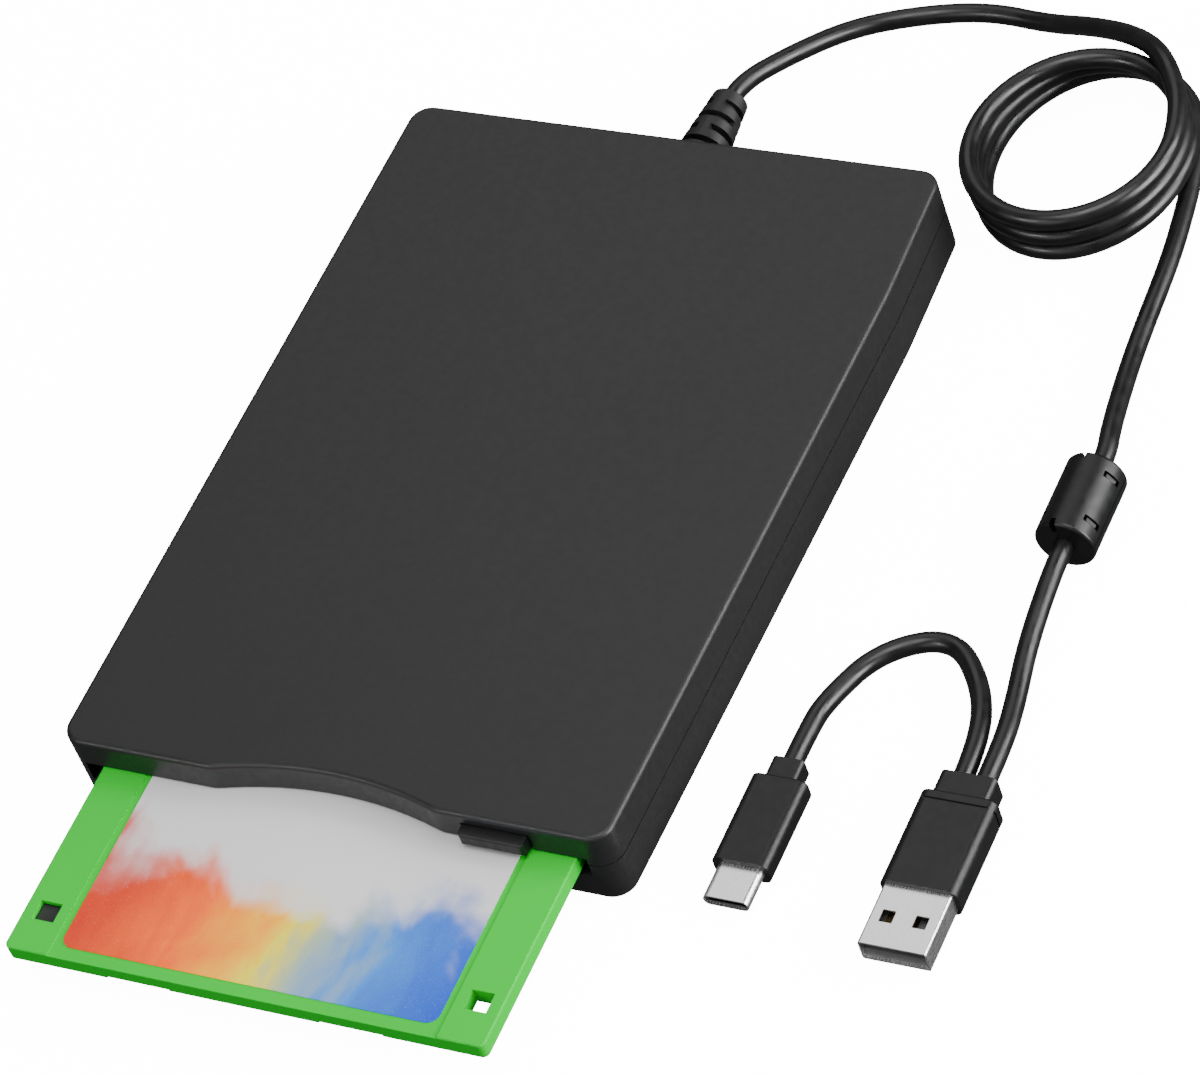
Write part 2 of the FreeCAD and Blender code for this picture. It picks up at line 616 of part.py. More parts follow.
def board_chips():
    places = (("mech_w / 2 - 30", "stop_y + 5", 10, 10), ("mech_w / 2 - 17", "stop_y + 6", 6, 8),
              ("mech_w / 2 - 30", "stop_y + 20", 12, 6))
    return chips("Chip", places, "mech_z + sheet_t + 1")


def usb_board():
    """Interface board behind the mechanism, on two posts of the bottom cover."""
    return box("UsbBoard", (-24, "mech_end + 2", "floor_z + 1.8"), (52, "back_y - wall_t - mech_end - 3.6", 1))


def usb_chip():
    return chips("UsbChip", (("10", "mech_end + 4", 7, 7), ("-14", "mech_end + 4", 4, 6)), "floor_z + 2.8")


def usb_header():
    """Housing on the interface board where the cord's wires end."""
    body = box("HeaderBody", ("relief_x - 5", "mech_end + 2.5", "floor_z + 2.8"), (10, 5, "seam_z + 2 - floor_z - 2.8"))
    window = box("HeaderWindow", ("relief_x - 4", "mech_end + 2", "seam_z + 1"), (8, 4, 2))
    return carve("Header", body, [window])


def ribbon_cable():
    """Flat cable from the interface board over the tray's back wall to the control board."""
    y, z = size("mech_end"), size("mech_z") + size("sheet_t") + 1
    top = size("mech_top") - 3
    line = [V(0, y - 4.5, z), V(0, y - 4.5, top), V(0, y + 3.5, top), V(0, y + 3.5, size("floor_z") + 2.8)]
    edges = [Part.LineSegment(a, b).toShape() for a, b in zip(line, line[1:])]
    outer = Part.Wire(edges).makeOffset2D(0.15, 0, True, False)
    ribbon = Part.Face(outer) if outer.isClosed() else None
    if ribbon is None:
        strips = [block((0, y - 4.65, z), (8, y - 4.35, top)), block((0, y - 4.65, top - 0.3), (8, y + 3.65, top)),
                  block((0, y + 3.35, size("floor_z") + 2.8), (8, y + 3.65, top))]
        shape = strips[0].fuse(strips[1:]).removeSplitter()
    else:
        shape = ribbon.extrude(V(8, 0, 0))
    shape.translate(V(size("mech_w") / 2 - 29, 0, 0))
    return shape


def disk_outline(inset):
    """Plan of the diskette shell with its cut corner."""
    half, y, rear = size("disk_w") / 2 - inset, size("disk_y") + inset, size("disk_rear") - inset
    return rounded(((-half, y, 1.2), (half, y, 1.2), (half, rear - 4, 0.5), (half - 4, rear, 0.5), (-half, rear, 1.2)))


def shell_cuts(low, high):
    """Holes, the write tab's channel and the spring's pocket, shared by both shells of the diskette."""
    y, rear, hub = sizes("disk_y disk_rear hub_y")
    x, inset, width, length = sizes("hole_x hole_in hole_w hole_l")
    cuts = [block((-4.6, hub + 20, low), (4.6, rear - 3.5, high))]
    for side in (-1, 1):
        cuts.append(block((side * x - width / 2, y + inset - length / 2, low),
                          (side * x + width / 2, y + inset + length / 2, high)))
    mid = size("disk_z") + size("disk_t") / 2
    cuts.append(block((-x - width / 2, y + inset, size("disk_z") + 0.3),
                      (-x + width / 2, y + inset + length / 2 + 4.4, size("disk_top") - 0.8)))
    cuts.append(block((22.7, rear - 3.5, mid - 0.6), (29.5, rear - 0.95, mid + 0.7)))
    return cuts


def shutter_space(low, high):
    """Shallow recess that the shutter runs in, on one face and over the rear edge."""
    width, length, go, rear = sizes("shutter_w shutter_l shutter_go disk_rear")
    return block((-width / 2 - 0.3, rear - length - 0.3, low), (width / 2 + go + 0.3, rear + 1, high))


def disk_shell_top():
    low, high, rear, hub = sizes("disk_z disk_top disk_rear hub_y")
    mid = low + size("disk_t") / 2
    shell = soften(prism(disk_outline(0), mid, high), 0.35, level(high))
    shell = shell.cut(barrel((0, hub, mid - 1), size("media_r") + 0.5, 1 + (high - mid) - size("shell_t")))
    for cut in shell_cuts(mid - 1, high + 1):
        shell = shell.cut(cut)
    half, depth = size("recess_w") / 2, size("recess_d")
    y = size("disk_y")
    shell = shell.cut(block((-half, y - 1, high - depth), (half, y + size("label_in") + size("label_l") + 0.6, high + 1)))
    shell = shell.cut(shutter_space(high - size("shutter_t") - 0.15, high + 1))
    return shell.cut(block((-size("shutter_w") / 2 - 0.3, rear - 0.35, mid - 1),
                           (size("shutter_w") / 2 + size("shutter_go") + 0.3, rear + 1, high + 1))).removeSplitter()


def disk_shell_bottom():
    low, high, rear, hub = sizes("disk_z disk_top disk_rear hub_y")
    mid = low + size("disk_t") / 2
    shell = soften(prism(disk_outline(0), low, mid), 0.35, level(low))
    shell = shell.cut(barrel((0, hub, low + size("shell_t")), size("media_r") + 0.5, 3))
    shell = shell.cut(barrel((0, hub, low - 1), 13.5, 5))
    for cut in shell_cuts(low - 1, mid + 1):
        shell = shell.cut(cut)
    y = size("disk_y")
    for side in (-1, 1):
        shell = shell.cut(block((side * 20 - 6, y - 1, low - 1), (side * 20 + 6, y + 1.2, low + 0.6)))
    shell = shell.cut(shutter_space(low - 1, low + size("shutter_t") + 0.15))
    return shell.cut(block((-size("shutter_w") / 2 - 0.3, rear - 0.35, low - 1),
                           (size("shutter_w") / 2 + size("shutter_go") + 0.3, rear + 1, mid + 1))).removeSplitter()


def disk_shutter():
    """Folded metal shutter round the rear edge of the shells, with its window beside theirs."""
    width, length, thick, rear = sizes("shutter_w shutter_l shutter_t disk_rear")
    low, high = size("disk_z") + 0.05, size("disk_top") - 0.05
    plate = block((-width / 2, rear - length, low), (width / 2, rear - 0.05, high))
    inner = block((-width / 2 - 1, rear - length - 1, low + thick), (width / 2 + 1, rear - 0.05 - thick, high - thick))
    window = block((-4.8 - size("shutter_go") + 3.5, rear - length + 3, low - 1), (-4.8, rear - 3.5, high + 1))
    return plate.cut(inner).cut(window)


def shutter_spring():
    """Bent wire in the corner pocket of the diskette."""
    x, y, z = 24, size("disk_rear") - 2.2, size("disk_z") + size("disk_t") / 2
    return wound((x, y, z - 0.35), 0.9, 0.18, 1.25, 0.6, V(0, 0, 1))


def magnetic_disk():
    z = size("disk_z") + size("disk_t") / 2 - size("media_t") / 2
    return barrel((0, size("hub_y"), z), size("media_r"), size("media_t")).cut(barrel((0, size("hub_y"), z - 1), 12, 3))


def disk_hub():
    """Metal hub with its square centre hole and drive window."""
    y, z = size("hub_y"), size("disk_z")
    plate = barrel((0, y, z + 0.25), 12.6, 0.3).fuse(barrel((0, y, z + 0.25), 11, 1.2))
    plate = plate.cut(barrel((0, y, z + 0.6), 10.4, 3)).fuse(barrel((0, y, z + 0.25), 12.6, 0.3))
    plate = plate.fuse(barrel((0, y, z + 1.25), 12.9, 0.25).cut(barrel((0, y, z), 10.4, 3)))
    return plate.cut(block((-2, y - 2, z - 1), (2, y + 2, z + 4))).cut(block((4.4, y - 2, z - 1), (8.6, y + 2, z + 1)))


def disk_liners():
    """Two soft liners that face the magnetic disk."""
    hub, low, high = size("hub_y"), size("disk_z"), size("disk_top")
    thick = 0.15
    rings = []
    for z in (low + size("shell_t"), high - size("shell_t") - thick):
        ring = barrel((0, hub, z), size("media_r"), thick).cut(barrel((0, hub, z - 1), 15, 3))
        rings.append(ring.cut(block((-5, hub + 18, z - 1), (5, hub + 60, z + 1))))
    return Part.makeCompound(rings)


def write_tab():
    """Small sliding tab that fills the write protect hole."""
    x, inset, width, length = sizes("hole_x hole_in hole_w hole_l")
    y = size("disk_y") + inset
    return block((-x - width / 2 + 0.1, y - length / 2 + 0.1, size("disk_z") + 0.4),
                 (-x + width / 2 - 0.1, y + length / 2 - 0.1, size("disk_top") - 0.9))


def disk_label():
    """Paper label with rounded front corners in the shell's shallow recess."""
    half, y, z = size("label_w") / 2, size("disk_y") + size("label_in"), size("disk_top") - size("recess_d")
    rear = y + size("label_l")
    return prism(rounded(((-half, y, 2.2), (half, y, 2.2), (half, rear, 1), (-half, rear, 1))), z, z + 0.12)


def strain_relief():
    """Rubber sleeve in the back wall: flange, neck and a tapered boot with staggered windows."""
    x, y, z = size("relief_x"), size("back_y"), size("seam_z")
    big, tip, length, along = size("relief_r"), size("relief_tip"), size("relief_l"), V(0, 1, 0)
    boot = Part.makeCone(big, tip, length, V(x, y + 0.05, z), along)
    core = size("cord_r") + 0.8
    for k in range(4):
        start = y + 2.2 + k * 3.3
        ring = barrel((x, start, z), big + 2, 1.4, along).cut(barrel((x, start - 1, z), core, 4, along))
        half = 1.1
        if k % 2:
            bridges = block((x - half, start - 1, z - 9), (x + half, start + 3, z + 9))
        else:
            bridges = block((x - 9, start - 1, z - half), (x + 9, start + 3, z + half))
        boot = boot.cut(ring.cut(bridges))
    neck = barrel((x, y - size("wall_t") - 0.1, z), big - 0.5, size("wall_t") + 0.2, along)
    flange = barrel((x, y - size("wall_t") - 1.2, z), big + 0.6, 1.15, along)
    return boot.fuse(neck).fuse(flange).cut(barrel((x, y - 9, z), size("cord_r") + 0.02, 40, along)).removeSplitter()


def straight_cord(name, x, y, z, length):
    return rod(name, (x, y, z), "cord_r", length, "y")


def tangent_arc(start, corner, end):
    """Arc that leaves start towards the corner and reaches end from it."""
    chord = end - start
    middle = (start + end) * 0.5
    out = corner - middle
    if out.Length < 2e-3:
        return Part.LineSegment(start, end).toShape()
    lean = math.acos(min(1.0, chord.Length / 2 / (corner - start).Length))
    out.normalize()
    return Part.Arc(start, middle + out * (chord.Length / 2 * math.tan(lean / 2)), end).toShape()


def swept(name, wire):
    """Round cord along a wire, with its volume checked against its length."""
    first = wire.Edges[0]
    start = first.valueAt(first.FirstParameter)
    heading = first.tangentAt(first.FirstParameter)
    section = Part.Wire(Part.makeCircle(size("cord_r"), start, heading))
    tube = wire.makePipeShell([section], True, False)
    share = tube.Volume / (math.pi * size("cord_r") ** 2 * wire.Length)
    print(name, "length", round(wire.Length, 1), "volume share", round(share, 4), "valid", tube.isValid())
    return tube


def cord_tube(name, points):
    """Cord as straight runs joined by tangent arcs through hand-placed points."""
    points = [V(*point) for point in points]
    edges, here = [], points[0]
    for before, corner, after in zip(points, points[1:], points[2:]):
        into, out = corner - before, after - corner
        turn = into.getAngle(out)
        reach = 0.45 * min(into.Length, out.Length)
        print(name, "bend radius", round(reach / math.tan(turn / 2), 1), "turn", round(math.degrees(turn), 1))
        into.normalize()
        out.normalize()
        start, end = corner - into * reach, corner + out * reach
        edges.append(Part.LineSegment(here, start).toShape())
        edges.append(tangent_arc(start, corner, end))
        here = end
    edges.append(Part.LineSegment(here, points[-1]).toShape())
    return swept(name, Part.Wire(edges))


def coil_spot(turns):
    """Point of the coil after so many turns: loops climb, lean to the front and grow rounder."""
    angle = 2 * math.pi * turns
    long_r, short_r = size("coil_ry") - 1.23 * turns, size("coil_rx") + 0.14 * turns
    x = size("coil_x") + 0.03 * turns + short_r * math.cos(angle)
    y = size("coil_y") - 1.57 * turns + long_r * math.sin(angle)
    return V(x, y, size("cord_r") + size("coil_step") * (turns - COIL_FROM))


def coil_heading(turns):
    """Direction of travel along the coil, level where it lies on the floor."""
    ahead = coil_spot(turns + 1e-4) - coil_spot(turns - 1e-4)
    if turns <= COIL_FROM:
        ahead.z = 0
    ahead.normalize()
    return ahead


COIL_FROM, COIL_TO = 0.04, 3.06
STEPS_PER_TURN = 8


def cord_coil():
    """The three loops, as one unbroken tube on biarcs."""
    count = round((COIL_TO - COIL_FROM) * STEPS_PER_TURN)
    edges = []
    for k in range(count):
        t_from, t_to = (COIL_FROM + (COIL_TO - COIL_FROM) * n / count for n in (k, k + 1))
        start, end = coil_spot(t_from), coil_spot(t_to)
        out, into = coil_heading(t_from), coil_heading(t_to)
        gap, both = end - start, out + into
        bend = 2 * (1 - out.dot(into))
        along = gap.dot(both)
        reach = (-along + math.sqrt(along * along + bend * gap.dot(gap))) / bend
        knee, elbow = start + out * reach, end - into * reach
        joint = (knee + elbow) * 0.5
        edges += [tangent_arc(start, knee, joint), tangent_arc(joint, elbow, end)]
    spots = [coil_spot(COIL_FROM + (COIL_TO - COIL_FROM) * k / 480) for k in range(481)]
    least = min((a - b).Length for i, a in enumerate(spots) for b in spots[i + 80:])
    print("cord_coil least gap", round(least - size("cord_d"), 3))
    return swept("cord_coil", Part.Wire(edges))


def laid(x, y, z):
    """Hand-placed point of the cord, kept at its distance from the case."""
    return x + size("lay_x"), y + size("lay_y"), z


def cord_in_points():
    """From the strain relief down to the floor behind the case and up to the top of the coil."""
    end = coil_spot(COIL_TO)
    before = end + coil_heading(COIL_TO) * 7
    start = (size("relief_x"), size("back_y") + 0.05 + size("relief_l"), size("seam_z"))
    return [start, (start[0], start[1] + 4.5, start[2]), laid(8.4, 104.9, 7.2), laid(15.5, 115.8, 4.2),
            laid(26, 123, 1.9), laid(38.5, 125.9, 1.8), laid(51, 124.2, 2.2), laid(62, 120, 7),
            laid(72, 115.9, 11), laid(80.5, 110, 14.6), tuple(before), tuple(end)]


def cord_out_points():
    """From the coil's start along the floor and up to the ferrite."""
    start = coil_spot(COIL_FROM)
    ahead = start - coil_heading(COIL_FROM) * 12
    end_y = size("choke_y") + size("choke_l") / 2
    x, z = size("choke_x"), size("choke_r")
    return [tuple(start), tuple(ahead), laid(92.5, 74.5, 1.8), laid(93.3, 58, 1.8), laid(94.4, 47, 2.4),
            laid(97.2, 33, 5), (x, end_y + 4.5, z), (x, end_y, z)]


def plug_cord_y():
    return size("plug_y") + size("plug_l") + size("collar_l")


def cord_tail_points():
    """From the ferrite to the right hand side of the larger plug's collar."""
    y, x, z = size("choke_y") - size("choke_l") / 2, size("choke_x"), size("choke_r")
    end_x, end_y = size("plug_x") + size("pair_gap") / 2, plug_cord_y()
    return [(x, y, z), (x, y - 6, z), laid(98.9, -12.5, 3.2), laid(100.9, -24, 2.4),
            (end_x, end_y + 8.5, size("plug_z")), (end_x, end_y, size("plug_z"))]


def cord_branch_points():
    """From the left hand side of that collar, over in a hoop, to the smaller plug."""
    x, y = size("plug_x") - size("pair_gap") / 2, plug_cord_y()
    end_x, end_y = size("mini_x"), size("mini_y") + size("mini_l") + size("collar_l") - 0.4
    return [(x, y, size("plug_z")), (x, y + 8, size("plug_z")), laid(94.6, -22.3, 2.2), laid(85.6, -12.2, 1.8),
            laid(74, -17.8, 1.8), laid(69, -30, 2), (end_x, end_y + 7, size("mini_z")), (end_x, end_y, size("mini_z"))]


def ferrite_housing():
    """Black sleeve round the ferrite core, with small windows at both ends."""
    x, y, z, length = size("choke_x"), size("choke_y") - size("choke_l") / 2, size("choke_r"), size("choke_l")
    along = V(0, 1, 0)
    body = soften(barrel((x, y, z), z, length, along), 0.7, lambda edge: edge.Length > 20 and len(edge.Vertexes) == 1)
    body = body.cut(barrel((x, y + 2.2, z), z - 1.25, length - 4.4, along))
    body = body.cut(barrel((x, y - 1, z), size("cord_r") + 0.02, length + 2, along))
    latch, slot = block((-1.7, 0, 3), (1.7, 1.2, 9)), block((-0.55, 0, 3.3), (0.55, 2.4, 9))
    hole, seam = barrel((0, 0, 3), 0.55, 6), block((-0.1, 0, z - 0.2), (0.1, length - 1, 9))
    cuts = [(latch, 2.7, 55), (latch, length - 3.9, 55), (slot, -1, -14), (slot, length - 1.4, -14),
            (hole, 3.4, -46), (hole, length - 3.4, -46), (seam, 0.5, 85), (seam, 0.5, -95)]
    for tool, ahead, turn in cuts:
        tool = tool.copy()
        tool.Placement = FreeCAD.Placement(V(x, y + ahead, z), FreeCAD.Rotation(along, turn))
        body = body.cut(tool)
    return body


def ferrite_core():
    x, y, z, length = size("choke_x"), size("choke_y") - size("choke_l") / 2, size("choke_r"), size("choke_l")
    return carve("Core", rod("CoreOut", (x, y + 2.3, z), "choke_r - 1.35", length - 4.6, "y"),
                 [rod("CoreIn", (x, y, z), "cord_r + 0.2", length, "y")])


def plug_body(x, y, width, length, thick, radius):
    """Rounded moulding of a plug, lying on the floor."""
    body = block((x - width / 2, y, 0), (x + width / 2, y + length, thick))
    body = soften(body, radius, lambda edge: abs(edge.Length - length) < 1e-3 and edge.Vertexes[0].X == edge.Vertexes[1].X)
    return body.makeFillet(0.5, [e for e in body.Edges if all(abs(v.Y - y - length) < 1e-4 for v in e.Vertexes)])


def plug_a_molding():
    x, y, width, length, thick = sizes("plug_x plug_y plug_w plug_l plug_t")
    body = plug_body(x, y, width, length, thick, 1.8)
    z = thick / 2
    collar = soften(block((x - 5, y + length - 0.5, z - 2.9), (x + 5, y + length + size("collar_l"), z + 2.9)), 1.2,
                    lambda edge: abs(edge.Length - size("collar_l") - 0.5) < 1e-3)
    body = body.fuse(collar)
    shell_w, shell_h = size("shell_w") + 0.04, size("shell_h") + 0.04
    body = body.cut(block((x - shell_w / 2, y - 1, z - shell_h / 2), (x + shell_w / 2, y + 2, z + shell_h / 2)))
    band = block((x - width, y + length - 2.1, -1), (x + width, y + length - 1.7, thick + 1))
    keep = block((x - width / 2 + 0.25, y + length - 3, 0.25), (x + width / 2 - 0.25, y + length, thick - 0.25))
    return body.cut(band.cut(keep)).removeSplitter()


def plug_a_shell():
    """Folded metal shell with two square catch holes on each flat side."""
    x, y, z, t = size("plug_x"), size("plug_y"), size("plug_z"), size("tube_t")
    w, h, out = size("shell_w") / 2, size("shell_h") / 2, size("shell_l")
    outer = soften(block((x - w, y - out, z - h), (x + w, y + 1.98, z + h)), 0.5, lambda e: abs(e.Length - out - 1.98) < 1e-3)
    inner = block((x - w + t, y - out - 1, z - h + t), (x + w - t, y + 3, z + h - t))
    shell = outer.cut(inner)
    for side in (-1, 1):
        shell = shell.cut(block((x + side * 2.9 - 1.15, y - 7.3, z - 5), (x + side * 2.9 + 1.15, y - 4.9, z + 5)))
    return shell


def plug_a_tongue():
    """Insulator with four contacts."""
    x, y, z, t = size("plug_x"), size("plug_y"), size("plug_z"), size("tube_t")
    w, h, out = size("shell_w") / 2 - t, size("shell_h") / 2 - t, size("shell_l")
    tongue = block((x - w, y - out + 0.6, z - h), (x + w, y + 1.9, z - h + 1.9))
    tongue = tongue.fuse(block((x - w, y - 1, z - h), (x + w, y + 1.9, z + h)))
    for k in (-1.5, -0.5, 0.5, 1.5):
        tongue = tongue.cut(block((x + k * 2.3 - 0.55, y - out + 1.2, z - h + 1.6), (x + k * 2.3 + 0.55, y - 1, z)))
    return tongue


def plug_a_contacts():
    x, y, z, t = size("plug_x"), size("plug_y"), size("plug_z"), size("tube_t")
    h, out = size("shell_h") / 2 - t, size("shell_l")
    strips = [box("Contact%d" % i, (x + k * 2.3 - 0.5, y - out + 1.3, z - h + 1.6), (1, out - 2.4, 0.25))
              for i, k in enumerate((-1.5, -0.5, 0.5, 1.5))]
    return together("Contacts", strips)


def stadium(x, z, width, height, y, length):
    """Solid with a flat oval section along Y."""
    body = block((x - width / 2, y, z - height / 2), (x + width / 2, y + length, z + height / 2))
    return soften(body, height / 2 - 0.01, lambda edge: abs(edge.Length - length) < 1e-3)


def plug_c_molding():
    x, y, width, length, thick = sizes("mini_x mini_y mini_w mini_l mini_t")
    body = plug_body(x, y, width, length, thick, 1.6)
    z, reach = thick / 2, size("collar_l") - 0.4
    collar = soften(block((x - 2.9, y + length - 0.5, z - 2.2), (x + 2.9, y + length + reach, z + 2.2)), 1,
                    lambda edge: abs(edge.Length - reach - 0.5) < 1e-3)
    return body.fuse(collar).cut(stadium(x, z, size("tip_w") + 0.04, size("tip_h") + 0.04, y - 1, 3)).removeSplitter()


def plug_c_shell():
    x, y, z, out = size("mini_x"), size("mini_y"), size("mini_z"), size("tip_l")
    shell = stadium(x, z, size("tip_w"), size("tip_h"), y - out, out + 1.98)
    return shell.cut(stadium(x, z, size("tip_w") - 0.6, size("tip_h") - 0.6, y - out - 1, out + 5))


def plug_c_insert():
    """Dark lining of the shell, with the open mouth for the socket's tongue."""
    x, y, z, out = size("mini_x"), size("mini_y"), size("mini_z"), size("tip_l")
    lining = stadium(x, z, size("tip_w") - 0.62, size("tip_h") - 0.62, y - out + 0.4, out + 1.4)
    return lining.cut(block((x - 3.35, y - out - 1, z - 0.4), (x + 3.35, y - 0.6, z + 0.4)))


def build():
    """Make every sub-part under its own name."""
    node("top_cover", formed("TopCover", top_cover()))
    node("bottom_cover", formed("BottomCover", bottom_cover()))
    node("rubber_feet", rubber_feet())
    node("case_screws", case_screws())
    node("mech_screws", mech_screws())
    node("chassis", chassis())
    node("top_shield", top_shield())
    node("disk_holder", disk_holder())
    node("eject_slide", formed("EjectSlide", eject_slide()))
    node("eject_button", formed("EjectButton", eject_button()))
    node("slide_springs", formed("SlideSprings", slide_springs()))
    node("motor_board", motor_board())
    node("sensor_switches", sensor_switches())
    node("stator", formed("Stator", stator()))
    node("spindle_bearing", spindle_bearing())
    node("spindle_rotor", spindle_rotor())
    node("spindle_hub", spindle_hub())
    node("guide_rod", guide_rod())
    node("lead_screw", formed("LeadScrew", lead_screw()))
    node("stepper_motor", stepper_motor())
    node("head_carriage", head_carriage())
    node("lower_head", lower_head())
    node("head_arm", head_arm())
    node("upper_head", upper_head())
    node("arm_spring", arm_spring())
    node("shutter_lever", formed("ShutterLever", shutter_lever()))
    node("lever_post", formed("LeverPost", lever_post()))
    node("lever_spring", formed("LeverSpring", lever_spring()))
    node("control_board", control_board())
    node("board_chips", board_chips())
    node("usb_board", usb_board())
    node("usb_chips", usb_chip())
    node("usb_header", usb_header())
    node("ribbon_cable", formed("RibbonCable", ribbon_cable()))
    node("disk_shell_top", formed("DiskShellTop", disk_shell_top()))
    node("disk_shell_bottom", formed("DiskShellBottom", disk_shell_bottom()))
    node("disk_shutter", formed("DiskShutter", disk_shutter()))
    node("shutter_spring", formed("ShutterSpring", shutter_spring()))
    node("magnetic_disk", formed("MagneticDisk", magnetic_disk()))
    node("disk_hub", formed("DiskHub", disk_hub()))
    node("disk_liners", formed("DiskLiners", disk_liners()))
    node("write_tab", formed("WriteTab", write_tab()))
    node("disk_label", formed("DiskLabel", disk_label()))
    node("strain_relief", formed("StrainRelief", strain_relief()))
    lead = "back_y + 0.05 + relief_l - mech_end - 7.5"
    node("cord_lead", straight_cord("CordLead", "relief_x", "mech_end + 7.5", "seam_z", lead))
    node("cord_in", formed("CordIn", cord_tube("cord_in", cord_in_points())))
    node("cord_coil", formed("CordCoil", cord_coil()))
    node("cord_out", formed("CordOut", cord_tube("cord_out", cord_out_points())))
    node("ferrite_housing", formed("FerriteHousing", ferrite_housing()))
    node("ferrite_core", ferrite_core())
    node("cord_middle", straight_cord("CordMiddle", "choke_x", "choke_y - choke_l / 2", "choke_r", "choke_l"))
    node("cord_tail", formed("CordTail", cord_tube("cord_tail", cord_tail_points())))
    node("plug_a_molding", formed("PlugAMolding", plug_a_molding()))
    node("plug_a_shell", formed("PlugAShell", plug_a_shell()))
    node("plug_a_tongue", formed("PlugATongue", plug_a_tongue()))
    node("plug_a_contacts", plug_a_contacts())
    node("cord_branch", formed("CordBranch", cord_tube("cord_branch", cord_branch_points())))
    node("plug_c_molding", formed("PlugCMolding", plug_c_molding()))
    node("plug_c_shell", formed("PlugCShell", plug_c_shell()))
    node("plug_c_insert", formed("PlugCInsert", plug_c_insert()))


def check_and_write():
    """Stop on any object in error, then write one STEP file for each sub-part."""
    doc.recompute()
    for obj in doc.Objects:
        if "Invalid" in obj.State or "Error" in obj.State:
            raise RuntimeError("%s is in error" % obj.Name)
    os.makedirs("parts", exist_ok=True)
    for obj in NODES:
        if obj.Shape.isNull() or not obj.Shape.isValid() or not obj.Shape.Solids:
            raise RuntimeError("%s has no valid shape" % obj.Label)
        obj.Shape.exportStep("parts/%s.step" % obj.Label)
    print(len(NODES), "nodes written")


build()
check_and_write()
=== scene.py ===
"""Looks of the external floppy disk drive: finishes, cords, small trim, studio and camera.

X runs to the right seen from the disk slot, Y from the slot to the cord's end, Z up. Lengths are
in metres, and those of the coil, the cords' points and the latches in millimetres.
"""

import json
import logging
import math
from dataclasses import dataclass, field
from enum import Enum, auto
from typing import Callable

import bmesh
import bpy
from mathutils import Matrix, Vector


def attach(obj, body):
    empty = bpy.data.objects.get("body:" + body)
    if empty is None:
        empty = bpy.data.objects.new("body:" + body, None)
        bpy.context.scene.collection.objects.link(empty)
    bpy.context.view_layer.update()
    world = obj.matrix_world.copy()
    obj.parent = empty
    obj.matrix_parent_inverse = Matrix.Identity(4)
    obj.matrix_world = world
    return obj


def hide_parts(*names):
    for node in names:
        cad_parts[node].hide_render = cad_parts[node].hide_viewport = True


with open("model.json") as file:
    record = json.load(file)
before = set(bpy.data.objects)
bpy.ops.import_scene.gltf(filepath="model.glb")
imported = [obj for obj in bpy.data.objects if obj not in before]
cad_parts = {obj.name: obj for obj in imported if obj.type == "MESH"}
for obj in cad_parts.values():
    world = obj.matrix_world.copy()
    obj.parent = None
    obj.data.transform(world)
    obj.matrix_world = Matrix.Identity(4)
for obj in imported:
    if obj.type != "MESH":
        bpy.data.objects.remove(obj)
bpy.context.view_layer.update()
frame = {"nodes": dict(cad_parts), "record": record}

LOG = logging.getLogger("floppy_drive")
MM = 0.001
Color = tuple[float, float, float]
Point = tuple[float, float, float]

# Noise values between which most of a noise pattern lies.
NOISE_LOW, NOISE_HIGH = 0.3, 0.7
# Bumps, tracks or pads per metre.
MOULD_MOTTLE, JACKET_RIPPLE, BOARD_TRACKS, BOARD_PADS = 28, 260, 230, 330
# Scales of the label's noise, per metre: colours, ragged edge, pools and bare paper.
WASH_SCALE, RAGGED_SCALE, POOL_SCALE, PAPER_SCALE = 34, 150, 52, 22
# The label's wash in metres on the paper: how far noise moves its colours and its upper edge.
WASH_DRIFT, WASH_RAGGED, WASH_POOL, WASH_FRAY = 0.03, 0.012, 0.034, 0.008
# How much the colours lean to one side per metre towards the back.
WASH_LEAN = -0.28
# Where the colours run from left to right, and where the wash fades out towards the back.
WASH_ACROSS, WASH_EDGE = (-0.022, 0.062), (0.036, 0.047)
WASH_HUES: list[tuple[float, Color]] = [
    (0.0, (0.5, 0.015, 0.0)), (0.22, (0.85, 0.1, 0.0)), (0.4, (0.9, 0.4, 0.0)),
    (0.5, (0.75, 0.62, 0.01)), (0.6, (0.35, 0.42, 0.25)), (0.76, (0.03, 0.2, 0.62)),
    (1.0, (0.0, 0.05, 0.5)),
]
FIBRE_GREY: Color = (0.75, 0.75, 0.75)


class Grain(Enum):
    """Kinds of surface that the finishes choose from."""

    MOULDED = auto()
    BRUSHED = auto()
    TURNED = auto()
    JACKET = auto()
    TRACKS = auto()
    PAPER = auto()
    FELT = auto()
    FILM = auto()


